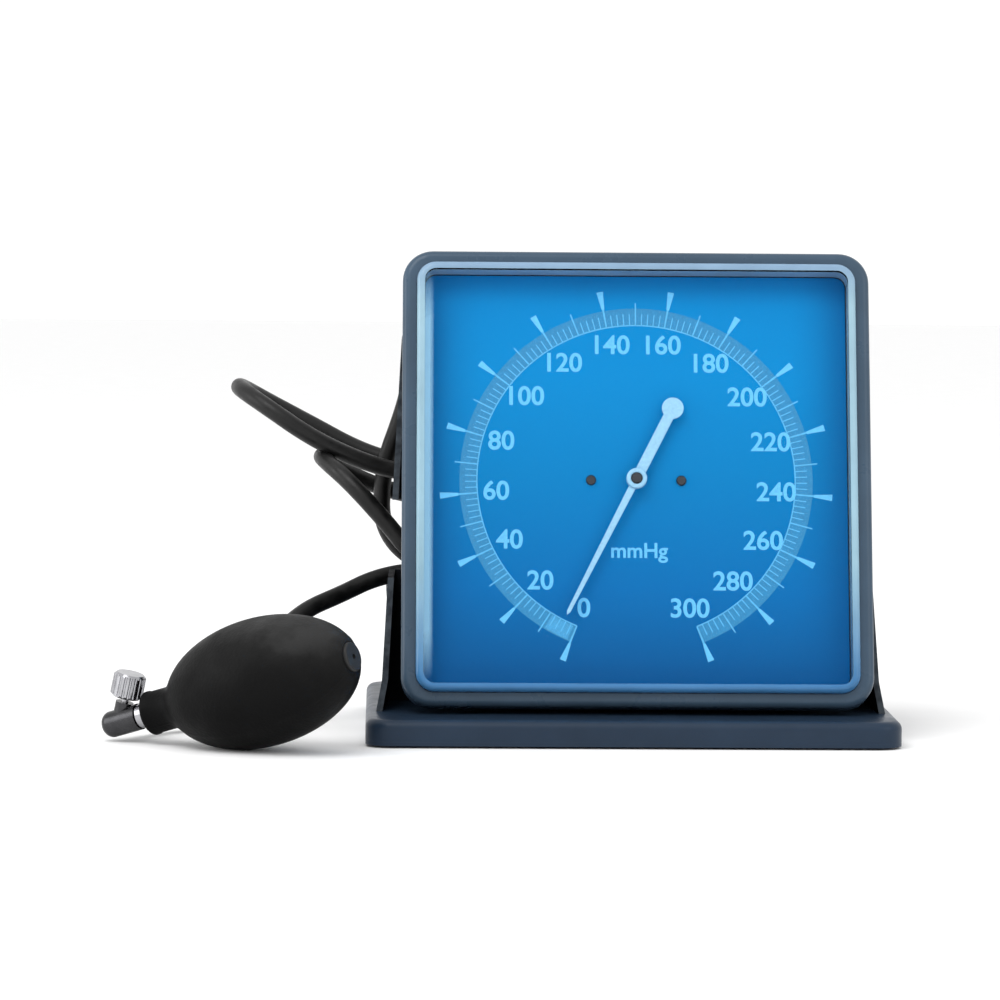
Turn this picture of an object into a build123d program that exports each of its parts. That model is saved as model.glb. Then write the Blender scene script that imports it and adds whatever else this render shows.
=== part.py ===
from build123d import *
import os
from math import atan2, cos, degrees, pi, radians, sin, sqrt, tan

os.makedirs("parts", exist_ok=True)

# Desk aneroid sphygmomanometer, in millimetres.
# X runs to the right seen from the front, Y to the back, Z up.
# The origin is below the middle of the gauge and midway between the front and back of the
# base, on the surface that it stands on.

# Stand
base_overhang = 10.4
stand_shift = -2.0
base_depth = 144.0
base_thickness = 8.4
base_corner = 9.0
base_edge = 3.0
base_shell = 3.0
base_border = 20.0
pad_height = 1.4
pad_sink = 0.6
pad_length = 34.0
pad_width = 9.0
pad_inset = 12.0
tower_inset = 2.2
tower_splay = 6.9
tower_flare = 2.0
tower_flare_height = 11.0
tower_height = 150.0
tower_corner = 10.0
tower_plate = 3.0
tower_wall = 2.2
tower_foot = 3.0
tower_foot_width = 150.0
tower_foot_depth = 24.0
tower_screw_spread = 110.0
notch_low = 56.5
notch_high = 84.0
notch_reach = 22.0
basket_side_inset = 7.0
basket_rim = 49.0
basket_wall = 2.4
basket_edge = 1.0
basket_floor = 3.0
basket_corner = 9.0
basket_draft = 3.0
basket_back_inset = 2.5
basket_screw_spread = 120.0
mount_width = 70.0
mount_height = 34.0
mount_above_middle = 30.0
mount_screw_spread_x = 54.0
mount_screw_spread_y = 20.0
screw_diameter = 3.5
screw_head = 7.0
screw_head_height = 2.2
mount_screw_grip = 8.0
fit = 0.05
seat_gap = 0.3

# Gauge case
lean = 15.0
case_width = 168.0
case_height = 166.0
case_corner = 11.0
case_bottom_gap = 1.4
case_set_back = 19.0
bezel_depth = 8.0
bezel_edge = 2.6
frame_side = 5.0
frame_end = 4.6
lens_corner = 7.0
lens_gap = 0.15
lens_rise = 3.2
lens_wall = 2.7
lens_edge = 2.0
gasket_height = 1.0
dial_thickness = 0.8
dial_edge_gap = 0.35
dial_corner = 4.0
dial_hole = 5.0
flange_thickness = 2.5
flange_inset = 1.0
dial_seat = 3.2
housing_depth = 30.0
housing_inset = 9.0
housing_taper = 7.0
housing_corner = 22.0
housing_wall = 2.5
housing_boss = 7.2
case_screw_diameter = 2.2
case_screw_head = 3.4
case_screw_head_height = 1.0
case_screw_grip = 5.0
case_screw_reach = 8.3
tower_gap = 10.5
shroud_gap = 1.5

# Dial screws and pointer
dial_screw_spread = 32.4
dial_screw_diameter = 2.0
dial_screw_head = 3.6
dial_screw_head_height = 0.9
dial_screw_edge = 0.3
pointer_height = 3.0
pointer_thickness = 0.8
pointer_reach = 55.5
pointer_tip_width = 1.3
pointer_hub_width = 2.6
pointer_hub_diameter = 7.4
pointer_tail_reach = 29.0
pointer_tail_width = 3.8
pointer_disc_diameter = 7.8
pointer_rest_angle = 26.8
pointer_sweep = 311.0
bush_diameter = 4.0
bush_height = 1.4
bush_edge = 0.35
bush_grip = 0.7
bush_shank_diameter = 3.0

# Movement
plate_thickness = 1.2
plate_width = 39.0
plate_top = 10.0
plate_bottom = 36.0
plate_spacing = 13.6
plate_corner = 3.0
pillar_diameter = 3.6
pillar_inset = 3.4
pillar_screw_diameter = 1.6
pillar_screw_head = 3.0
pillar_screw_head_height = 0.9
staff_diameter = 1.2
gear_distance = 16.0
gear_ratio = 10.0
pinion_teeth = 12
sector_teeth = 15
sector_arm_width = 3.0
sector_rim = 2.4
gear_width = 1.0
pinion_width = 2.0
gear_depth = 3.4
tooth_share = 0.34
tooth_tip_share = 0.20
tooth_addendum = 0.75
tooth_dedendum = 1.15
sector_boss_diameter = 3.6
tail_radius = 3.0
tail_pin_diameter = 0.8
tail_pin_length = 1.6
finger_gap = 0.15
tooth_root_extra = 0.02
root_bite = 0.8
root_hold = 0.995
rocker_depth = 10.8
rocker_length = 14.0
rocker_shaft_diameter = 1.6
rocker_finger = 5.9
rocker_arm = 8.5
rocker_thickness = 0.9
rocker_finger_width = 2.0
rocker_share = 0.5
lug_thickness = 1.4
lug_width = 4.0
hairspring_turns = 4
hairspring_pitch = 0.5
hairspring_strip = 0.14
hairspring_height = 0.5
hairspring_depth = 1.0
hairspring_post = 0.8
collet_diameter = 2.2
capsule_diameter = 52.0
capsule_depth = 22.3
capsule_half_height = 3.4
capsule_sheet = 0.5
capsule_rim = 1.5
capsule_waves = 4
capsule_wave_height = 0.6
capsule_boss = 9.0
stud_diameter = 5.0
stud_height = 1.6
stud_pin_diameter = 1.6
stud_gap = 0.2
stem_diameter = 8.0
stem_bore = 3.0
stem_flange = 2.0
stem_nut_across = 12.0
stem_nut_height = 2.2
elbow_height = 7.4
elbow_shoulder = 5.5
barb_bore = 2.2

# Bulb, inlet valve and release valve
bulb_diameter = 45.0
bulb_length = 76.0
bulb_wall = 2.6
bulb_end_wall = 3.6
bulb_end_margin = 1.0
shoulder_share = 0.86
neck_blend = 6.0
bulb_x = -132.0
bulb_y = -82.0
bulb_yaw = 29.0
bulb_rise = 16.5
neck_diameter = 15.0
neck_end = 47.5
neck_bore = 8.0
inlet_diameter = 8.4
inlet_length = 6.0
inlet_rim = 1.2
inlet_edge = 0.7
inlet_rim_diameter = 10.4
inlet_bore = 5.6
inlet_port = 2.0
inlet_disc_diameter = 4.8
inlet_disc_thickness = 0.8
inlet_lift = 1.0
spigot_length = 8.0
collar_diameter = 8.6
valve_neck_diameter = 6.0
collar_length = 4.6
collar_edge = 0.6
valve_diameter = 9.4
valve_length = 15.0
valve_nose = 3.4
valve_bore = 3.0
port_distance = 9.0
port_shoulder = 6.0
branch_distance = 8.4
needle_start = 0.8
branch_angle = 60.0
branch_diameter = 6.4
branch_reach = 7.4
knob_diameter = 11.6
knob_height = 8.8
knob_ribs = 20
knob_rib = 1.0
knob_gap = 1.8
needle_diameter = 2.6
needle_grip = 5.3
needle_point = 0.65
barb_length = 7.5

# Hoses and cuff
hose_diameter = 6.4
hose_bore = 3.6
port_collar = 5.0
straight_start = 15.0
gauge_port_start = 12.8
elbow_straight = 24.0
bend_share = 0.45
port_inset = 6.1
port_drop = 18.0
cuff_hose_room = 26.8
cuff_end_gap = 3.2
cuff_slack = 3.9
cuff_roll_height = 60.0
cuff_skin = 4.0
bladder_space = 3.0
cuff_hem = 14.0

# Places that follow from the sizes above
base_width = case_width + 2 * base_overhang
tower_half_top = case_width / 2 - tower_inset
tower_half_foot = tower_half_top + tower_splay
basket_width = base_width - 2 * basket_side_inset
basket_inner = basket_width - 2 * basket_draft - 2 * basket_wall
base_top = pad_height + base_thickness
foot_z = pad_height - pad_sink
lean_cos = cos(radians(lean))
lean_sin = sin(radians(lean))
face_z = base_top + case_bottom_gap + case_height / 2 * lean_cos + bezel_depth * lean_sin
face_y = -base_depth / 2 + case_set_back + case_height / 2 * lean_sin
face = Plane(origin=(0, face_y, face_z), x_dir=(1, 0, 0), z_dir=(0, -lean_cos, lean_sin))
ground = Plane(origin=(stand_shift, 0, 0), z_dir=(0, 0, 1))
tower_face = Plane(origin=(stand_shift, face_y, face_z), x_dir=face.x_dir, z_dir=face.z_dir)
forward = Axis(face.origin, face.z_dir)
flange_back = bezel_depth + flange_thickness
housing_back = flange_back + housing_depth
tower_front = housing_back + tower_gap
tower_back = tower_front + tower_plate
shroud_front = flange_back + shroud_gap
opening_width = case_width - 2 * frame_side
opening_height = case_height - 2 * frame_end
lens_width = opening_width - 2 * lens_gap
lens_height = opening_height - 2 * lens_gap
lens_foot = bezel_depth - gasket_height
dial_front = bezel_depth - dial_thickness
dial_width = lens_width - 2 * lens_wall - 2 * dial_edge_gap
dial_height = lens_height - 2 * lens_wall - 2 * dial_edge_gap
front_plate_back = bezel_depth + plate_thickness


def up_face(z, depth):
    """Distance up the leaning face of a point at height z, this far behind the rim."""
    return (z - face_z + depth * lean_sin) / lean_cos


def back_y(z, depth):
    """Y of the point at height z on the plane this far behind the rim."""
    return face_y + up_face(z, depth) * lean_sin + depth * lean_cos


def finish(piece, label):
    """Name one finished piece and write its file."""
    piece.part.label = label
    export_step(piece.part, f"parts/{label}.step")


def turned(plane, angle):
    """The same plane turned about its own normal."""
    return Plane(plane.location * Location((0, 0, 0), (0, 0, angle)))


def corners(width, depth, middle=0):
    """Four places on a rectangle."""
    return [(x, middle + y) for x in (-width / 2, width / 2) for y in (-depth / 2, depth / 2)]


# Tower outline on the leaning face, and the foot behind it
tower_base = up_face(base_top, shroud_front)
tower_bend = up_face(base_top + tower_flare_height, shroud_front)
tower_top = up_face(tower_height, shroud_front)
tower_low = tower_base - base_thickness
tower_half_low = tower_half_foot + tower_flare
foot_back = back_y(base_top, tower_front)
foot_middle = foot_back - tower_foot_depth / 2 + tower_plate / 2
basket_back = base_depth / 2 - basket_back_inset
basket_front = back_y(basket_rim, tower_back) + seat_gap
basket_depth = basket_back - basket_front
basket_middle = (basket_back + basket_front) / 2

# Pads and screws
pad_places = corners(base_width - 2 * pad_inset - pad_length, base_depth - 2 * pad_inset) + [(0, 0)]
tower_screw_places = [(x, foot_middle) for x in (-tower_screw_spread / 2, tower_screw_spread / 2)]
basket_screw_places = [(x, basket_middle) for x in (-basket_screw_spread / 2, basket_screw_spread / 2)]
base_screw_places = tower_screw_places + basket_screw_places
mount_screw_places = corners(mount_screw_spread_x, mount_screw_spread_y, mount_above_middle)
case_screw_x = case_width / 2 - case_corner + case_screw_reach * cos(radians(45))
case_screw_y = case_height / 2 - case_corner + case_screw_reach * sin(radians(45))
case_screw_places = corners(2 * case_screw_x, 2 * case_screw_y)

# Housing and movement places
housing_width = case_width - 2 * housing_inset
housing_height = case_height - 2 * housing_inset
back_plate_front = front_plate_back + plate_spacing
back_plate_back = back_plate_front + plate_thickness
pillar_x = plate_width / 2 - pillar_inset
pillar_places = corners(
    2 * pillar_x, plate_top + plate_bottom - 2 * pillar_inset, (plate_top - plate_bottom) / 2
)
boss_places = [(-pillar_x, plate_top - pillar_inset), (pillar_x, plate_top - pillar_inset)]
pointer_back = dial_front - pointer_height
pointer_plane = turned(face.offset(-pointer_back), -pointer_rest_angle)
staff_front = bezel_depth + seat_gap
staff_back = back_plate_back - seat_gap

# Gears: the pinion turns gear_ratio times as fast as the sector
pinion_radius = gear_distance / (1 + gear_ratio)
sector_radius = gear_distance - pinion_radius
gear_module = 2 * pinion_radius / pinion_teeth
gear_pitch = pi * gear_module
pinion_root = pinion_radius - tooth_dedendum * gear_module
pinion_tip = pinion_radius + tooth_addendum * gear_module
sector_root = sector_radius - tooth_dedendum * gear_module
sector_tip = sector_radius + tooth_addendum * gear_module
sector_step = 360 / (pinion_teeth * gear_ratio)
sector_half = radians(sector_step * sector_teeth / 2)
gear_middle = front_plate_back + gear_depth
sector_v = -gear_distance
sector_swing = pointer_sweep / gear_ratio
pinion_turn = -90 + 180 / pinion_teeth + pointer_sweep / 2
sector_rest = Plane(
    origin=face.offset(-gear_middle).from_local_coords((0, sector_v, 0)),
    x_dir=face.x_dir,
    z_dir=face.z_dir,
)
sector_plane = turned(sector_rest, -sector_swing / 2)

# Rocker: its local X points to the dial and its local Y down the face
rocker_swing = sector_swing * rocker_share
rocker_depth_back = front_plate_back + rocker_depth
rocker_v = sector_v - tail_pin_diameter / 2 - finger_gap - rocker_thickness / 2
rocker_level = Plane(
    origin=face.offset(-rocker_depth_back).from_local_coords((0, rocker_v, 0)),
    x_dir=face.z_dir,
    z_dir=face.x_dir,
)
rocker_plane = turned(rocker_level, rocker_swing / 2)
rocker_start = tail_radius - rocker_finger_width / 2
stud_u = rocker_start + rocker_length / 2
stud_v = rocker_v - rocker_arm * cos(radians(rocker_swing / 2))
lug_near = rocker_start + rocker_finger_width + lug_thickness
lug_far = rocker_start + rocker_length - lug_thickness
hairspring_inner = collet_diameter / 2 + hairspring_strip
hairspring_outer = hairspring_inner + hairspring_turns * hairspring_pitch

# Capsule, stud and inlet
capsule_place = (stud_u, stud_v)
capsule_middle = front_plate_back + capsule_depth
capsule_depth_back = capsule_middle + capsule_half_height
stud_back = capsule_middle - capsule_half_height
stud_tip = (
    rocker_depth_back
    + rocker_arm * sin(radians(rocker_swing / 2))
    + rocker_thickness / 2 / cos(radians(rocker_swing / 2))
    + stud_gap
)
capsule_plane = Plane(
    origin=face.offset(-capsule_middle).from_local_coords((stud_u, stud_v, 0)),
    x_dir=face.x_dir,
    z_dir=(0, -lean_sin, -lean_cos),
)
capsule_axis = Axis(capsule_plane.origin, face.z_dir)
elbow_back = housing_back + stem_nut_height + elbow_height
elbow_middle = elbow_back - elbow_height / 2
elbow_plane = Plane(
    origin=face.offset(-elbow_middle).from_local_coords((stud_u, stud_v, 0)),
    x_dir=(0, 1, 0),
    z_dir=(-1, 0, 0),
)

# Bulb: its section plane has X along the bulb to the valve end and Y upwards
bulb_half = bulb_length / 2
bulb_radius = bulb_diameter / 2
bulb_z = sqrt((bulb_half * sin(radians(bulb_rise))) ** 2 + (bulb_radius * cos(radians(bulb_rise))) ** 2)
to_valve = Vector(
    -cos(radians(bulb_rise)) * cos(radians(bulb_yaw)),
    cos(radians(bulb_rise)) * sin(radians(bulb_yaw)),
    -sin(radians(bulb_rise)),
)
bulb_up = (Vector(0, 0, 1) - to_valve * to_valve.Z).normalized()
bulb_plane = Plane(origin=(bulb_x, bulb_y, bulb_z), x_dir=to_valve, z_dir=to_valve.cross(bulb_up))
bulb_axis = Axis(bulb_plane.origin, to_valve)
across = Plane(origin=bulb_plane.origin, x_dir=bulb_up, z_dir=to_valve)
shoulder_x = bulb_half * shoulder_share
shoulder_radius = bulb_radius * sqrt(1 - shoulder_share**2)
shoulder_angle = degrees(atan2(shoulder_radius / bulb_radius, shoulder_share))
neck_start = shoulder_x + neck_blend
bulb_end_radius = inlet_rim_diameter / 2 + bulb_end_margin
bulb_end = -bulb_half * sqrt(1 - (bulb_end_radius / bulb_radius) ** 2)
end_angle = degrees(atan2(bulb_end_radius / bulb_radius, bulb_end / bulb_half))
inner_half = bulb_half - bulb_end_wall
inner_radius = bulb_radius - bulb_wall
inner_neck_x = inner_half * sqrt(1 - (neck_bore / 2 / inner_radius) ** 2)
inner_neck_angle = degrees(atan2(neck_bore / 2 / inner_radius, inner_neck_x / inner_half))
inner_hole_x = inner_half * sqrt(1 - (inlet_diameter / 2 / inner_radius) ** 2)
inner_hole_angle = degrees(atan2(inlet_diameter / 2 / inner_radius, -inner_hole_x / inner_half))

# Release valve
branch_middle = neck_end + collar_length + branch_distance
branch_dir = bulb_up * sin(radians(branch_angle)) - to_valve * cos(radians(branch_angle))
branch_plane = Plane(
    origin=bulb_plane.from_local_coords((branch_middle, 0, 0)), x_dir=bulb_plane.z_dir, z_dir=branch_dir
)
branch_axis = Axis(branch_plane.origin, branch_dir)
knob_start = branch_reach + knob_gap
port_plane = Plane(
    origin=bulb_plane.from_local_coords((neck_end + collar_length + port_distance, 0, 0)),
    x_dir=bulb_up,
    z_dir=bulb_plane.z_dir,
)

# Rolled cuff in the basket
cuff_roll_depth = basket_depth - 2 * basket_draft - 2 * basket_wall - 2 * cuff_slack
cuff_width = basket_inner - cuff_hose_room - cuff_end_gap
cuff_left = stand_shift - basket_inner / 2 + cuff_hose_room
bladder_width = cuff_width - cuff_hem
cuff_top = base_top + basket_floor + seat_gap + cuff_roll_height
cuff_plane = Plane(
    origin=(cuff_left, basket_middle, base_top + basket_floor + seat_gap + cuff_roll_height / 2),
    x_dir=(0, 1, 0),
    z_dir=(1, 0, 0),
)
bulb_port = Plane(
    origin=(cuff_left, basket_middle - cuff_roll_depth / 2 + port_inset, cuff_top - port_drop),
    x_dir=(0, 1, 0),
    z_dir=(-1, 0, 0),
)
gauge_port = Plane(
    origin=(cuff_left, basket_middle + cuff_roll_depth / 2 - port_inset, cuff_top - port_drop),
    x_dir=(0, 1, 0),
    z_dir=(-1, 0, 0),
)

# Hose routes, hand laid from the cuff to the bulb, and from the gauge to the cuff
bulb_route = [
    bulb_port.from_local_coords((0, 0, port_collar)),
    bulb_port.from_local_coords((0, 0, port_collar + straight_start)),
    (-93.0, 26.5, 52.5),
    (-106.0, 20.0, 46.5),
    (-119.5, 9.0, 41.5),
    (-131.0, -1.5, 31.0),
    (-140.0, -8.0, 17.0),
    (-151.5, -14.5, 6.0),
    (-164.0, -21.5, 4.5),
    port_plane.from_local_coords((0, 0, port_shoulder + straight_start)),
    port_plane.from_local_coords((0, 0, port_shoulder)),
]
gauge_route = [
    elbow_plane.from_local_coords((0, 0, elbow_shoulder)),
    elbow_plane.from_local_coords((0, 0, elbow_shoulder + elbow_straight)),
    (-46.0, 6.4, 56.0),
    (-66.0, 6.8, 57.5),
    (-80.0, 8.2, 62.0),
    (-89.5, 10.5, 74.0),
    (-103.3, 13.0, 88.8),
    (-113.2, 25.6, 96.5),
    (-113.2, 43.4, 96.5),
    (-103.3, 56.0, 88.8),
    (-87.0, 60.5, 82.0),
    (-72.0, 66.0, 79.5),
    (-59.8, 71.4, 79.0),
    (-41.2, 71.8, 78.9),
    (-28.0, 59.7, 81.9),
    (-28.0, 42.4, 86.1),
    (-40.6, 30.1, 89.1),
    (-58.8, 30.2, 89.5),
    (-74.0, 31.0, 90.5),
    (-87.0, 31.0, 91.5),
    (-101.5, 28.5, 96.3),
    (-117.5, 26.5, 104.0),
    (-133.5, 26.5, 115.0),
    (-144.2, 39.1, 121.6),
    (-144.2, 56.9, 121.6),
    (-133.5, 69.5, 115.0),
    (-117.2, 69.5, 106.5),
    (-101.0, 68.0, 97.8),
    (-85.5, 66.0, 92.8),
    (-69.5, 63.5, 92.0),
    (-54.0, 61.0, 96.0),
    (-41.0, 58.0, 107.0),
    (-35.0, 55.0, 122.7),
    (-35.0, 52.5, 141.3),
    (-48.2, 50.5, 154.5),
    (-66.8, 49.0, 154.5),
    (-80.0, 48.3, 141.3),
    (-80.8, 48.0, 122.5),
    (-84.5, 48.0, 109.5),
    (-89.3, 48.3, 96.5),
    (-91.2, 49.2, 83.8),
    (-91.0, 51.0, 71.2),
    (-85.1, 53.0, 61.0),
    gauge_port.from_local_coords((0, 0, port_collar + gauge_port_start)),
    gauge_port.from_local_coords((0, 0, port_collar)),
]


# Base plate: a moulded tray, open below inside a solid border
with BuildPart() as base_plate:
    with BuildSketch(ground.offset(foot_z)):
        RectangleRounded(base_width, base_depth, base_corner)
    extrude(amount=base_top - foot_z)
    fillet(base_plate.faces().sort_by(Axis.Z)[-1].edges(), base_edge)
    with BuildSketch(ground.offset(foot_z)):
        RectangleRounded(base_width - 2 * base_border, base_depth - 2 * base_border, base_corner)
    extrude(amount=base_top - base_shell - foot_z, mode=Mode.SUBTRACT)
    with BuildSketch(ground.offset(foot_z)):
        RectangleRounded(pad_length + 2 * base_shell, pad_width + 2 * base_shell, base_shell)
    extrude(amount=base_top - base_shell - foot_z)
    with BuildSketch(ground.offset(foot_z)):
        with Locations(*pad_places):
            RectangleRounded(pad_length + 2 * fit, pad_width + 2 * fit, pad_width / 2)
    extrude(amount=pad_sink, mode=Mode.SUBTRACT)
    with Locations(*[ground.from_local_coords((x, y, base_top)) for x, y in base_screw_places]):
        Hole(screw_diameter / 2 + fit, depth=base_shell)
finish(base_plate, "base_plate")

# Rubber rest pads, let into the underside of the base
with BuildPart() as rest_pads:
    with BuildSketch(ground):
        with Locations(*pad_places):
            RectangleRounded(pad_length, pad_width, pad_width / 2 - fit)
    extrude(amount=pad_height)
finish(rest_pads, "rest_pads")

# Screws that come up through the base into the tower foot and the basket
with BuildPart() as base_screws:
    with BuildSketch(ground.offset(base_top - base_shell - screw_head_height)):
        with Locations(*base_screw_places):
            Circle(screw_head / 2)
    extrude(amount=screw_head_height)
    with BuildSketch(ground.offset(base_top - base_shell)):
        with Locations(*base_screw_places):
            Circle(screw_diameter / 2)
    extrude(amount=base_shell + tower_foot)
finish(base_screws, "base_screws")

# Tower: leaning back plate with side flanges, a hose notch through each corner
with BuildPart() as tower:
    with BuildSketch(tower_face.offset(-tower_back)):
        with BuildLine():
            Polyline(
                (-tower_half_low, tower_low),
                (-tower_half_low, tower_base),
                (-tower_half_foot, tower_bend),
                (-tower_half_top, tower_top),
                (tower_half_top, tower_top),
                (tower_half_foot, tower_bend),
                (tower_half_low, tower_base),
                (tower_half_low, tower_low),
                close=True,
            )
        make_face()
        fillet(vertices().group_by(Axis.Y)[-1], tower_corner)
    extrude(amount=tower_back - shroud_front)
    with BuildSketch(tower_face.offset(-tower_front)):
        with BuildLine():
            Polyline(
                (-tower_half_low + tower_wall, tower_low - tower_wall),
                (-tower_half_low + tower_wall, tower_base),
                (-tower_half_foot + tower_wall, tower_bend),
                (-tower_half_top + tower_wall, tower_top + tower_wall),
                (tower_half_top - tower_wall, tower_top + tower_wall),
                (tower_half_foot - tower_wall, tower_bend),
                (tower_half_low - tower_wall, tower_base),
                (tower_half_low - tower_wall, tower_low - tower_wall),
                close=True,
            )
        make_face()
    extrude(amount=tower_front - shroud_front, mode=Mode.SUBTRACT)
    split(bisect_by=ground.offset(base_top), keep=Keep.TOP)
    with BuildSketch(ground.offset(base_top)):
        with Locations((0, foot_middle)):
            Rectangle(tower_foot_width, tower_foot_depth)
    extrude(amount=tower_foot)
    with BuildSketch(ground.offset(notch_low)):
        with Locations((-base_width / 2, 0), (base_width / 2, 0)):
            Rectangle(2 * (base_width / 2 - tower_half_foot + notch_reach), 2 * base_depth)
    extrude(amount=notch_high - notch_low, mode=Mode.SUBTRACT)
    foot_top = base_top + tower_foot
    with Locations(*[ground.from_local_coords((x, y, foot_top)) for x, y in tower_screw_places]):
        Hole(screw_diameter / 2 + fit, depth=tower_foot)
    with Locations(face.offset(-tower_front)):
        with Locations(*mount_screw_places):
            Hole(screw_diameter / 2 + fit, depth=tower_plate)
finish(tower, "tower")

# Cuff basket: open box behind the tower, wider at its rolled rim
with BuildPart() as cuff_basket:
    with BuildSketch(ground.offset(base_top)):
        with Locations((0, basket_middle)):
            RectangleRounded(
                basket_width - 2 * basket_draft, basket_depth - 2 * basket_draft, basket_corner
            )
    with BuildSketch(ground.offset(basket_rim)):
        with Locations((0, basket_middle)):
            RectangleRounded(basket_width, basket_depth, basket_corner + basket_draft)
    loft()
    with BuildSketch(ground.offset(base_top + basket_floor)):
        with Locations((0, basket_middle)):
            RectangleRounded(
                basket_inner, basket_depth - 2 * basket_draft - 2 * basket_wall, basket_corner - basket_wall
            )
    with BuildSketch(ground.offset(basket_rim)):
        with Locations((0, basket_middle)):
            RectangleRounded(
                basket_width - 2 * basket_wall,
                basket_depth - 2 * basket_wall,
                basket_corner + basket_draft - basket_wall,
            )
    loft(mode=Mode.SUBTRACT)
    fillet(cuff_basket.faces().sort_by(Axis.Z)[-1].edges(), basket_edge)
    floor_top = base_top + basket_floor
    with Locations(*[ground.from_local_coords((x, y, floor_top)) for x, y in basket_screw_places]):
        Hole(screw_diameter / 2 + fit, depth=basket_floor)
finish(cuff_basket, "cuff_basket")

# Screws from behind the tower into the boss of the gauge housing
with BuildPart() as mount_screws:
    with BuildSketch(face.offset(-tower_back - screw_head_height)):
        with Locations(*mount_screw_places):
            Circle(screw_head / 2)
    extrude(amount=screw_head_height)
    with BuildSketch(face.offset(-tower_back)):
        with Locations(*mount_screw_places):
            Circle(screw_diameter / 2)
    extrude(amount=tower_plate + mount_screw_grip)
finish(mount_screws, "mount_screws")

# Bezel: the coloured frame around the lens
with BuildPart() as bezel:
    with BuildSketch(face.offset(-bezel_depth)):
        RectangleRounded(case_width, case_height, case_corner)
    extrude(amount=bezel_depth)
    fillet(bezel.faces().sort_by(forward)[-1].edges(), bezel_edge)
    with BuildSketch(face.offset(-bezel_depth)):
        RectangleRounded(opening_width, opening_height, lens_corner)
    extrude(amount=bezel_depth, mode=Mode.SUBTRACT)
    with BuildSketch(face.offset(-bezel_depth)):
        with Locations(*case_screw_places):
            Circle(case_screw_diameter / 2 + fit)
    extrude(amount=case_screw_grip, mode=Mode.SUBTRACT)
finish(bezel, "bezel")

# Lens: clear raised cover with rounded rim
with BuildPart() as lens:
    with BuildSketch(face.offset(-lens_foot)):
        RectangleRounded(lens_width, lens_height, lens_corner - lens_gap)
    extrude(amount=lens_foot + lens_rise)
    fillet(lens.faces().sort_by(forward)[-1].edges(), lens_edge)
    with BuildSketch(face.offset(-lens_foot)):
        RectangleRounded(lens_width - 2 * lens_wall, lens_height - 2 * lens_wall, lens_corner - lens_wall)
    extrude(amount=lens_foot + lens_rise - lens_wall, mode=Mode.SUBTRACT)
finish(lens, "lens")

# Lens gasket between the lens foot and the housing flange
with BuildPart() as lens_gasket:
    with BuildSketch(face.offset(-bezel_depth)):
        RectangleRounded(lens_width, lens_height, lens_corner - lens_gap)
        RectangleRounded(
            lens_width - 2 * lens_wall, lens_height - 2 * lens_wall, lens_corner - lens_wall,
            mode=Mode.SUBTRACT,
        )
    extrude(amount=gasket_height)
finish(lens_gasket, "lens_gasket")

# Dial plate
with BuildPart() as dial_plate:
    with BuildSketch(face.offset(-bezel_depth)):
        RectangleRounded(dial_width, dial_height, dial_corner)
        Circle(dial_hole / 2, mode=Mode.SUBTRACT)
        with Locations((-dial_screw_spread / 2, 0), (dial_screw_spread / 2, 0)):
            Circle(dial_screw_diameter / 2 + fit, mode=Mode.SUBTRACT)
    extrude(amount=dial_thickness)
finish(dial_plate, "dial_plate")

# Two screws that hold the dial on the movement
with BuildPart() as dial_screws:
    with BuildSketch(face.offset(-dial_front)):
        with Locations((-dial_screw_spread / 2, 0), (dial_screw_spread / 2, 0)):
            Circle(dial_screw_head / 2)
    extrude(amount=dial_screw_head_height)
    chamfer(dial_screws.edges().group_by(forward)[-1], dial_screw_edge)
    with BuildSketch(face.offset(-front_plate_back)):
        with Locations((-dial_screw_spread / 2, 0), (dial_screw_spread / 2, 0)):
            Circle(dial_screw_diameter / 2)
    extrude(amount=front_plate_back - dial_front)
finish(dial_screws, "dial_screws")

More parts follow.
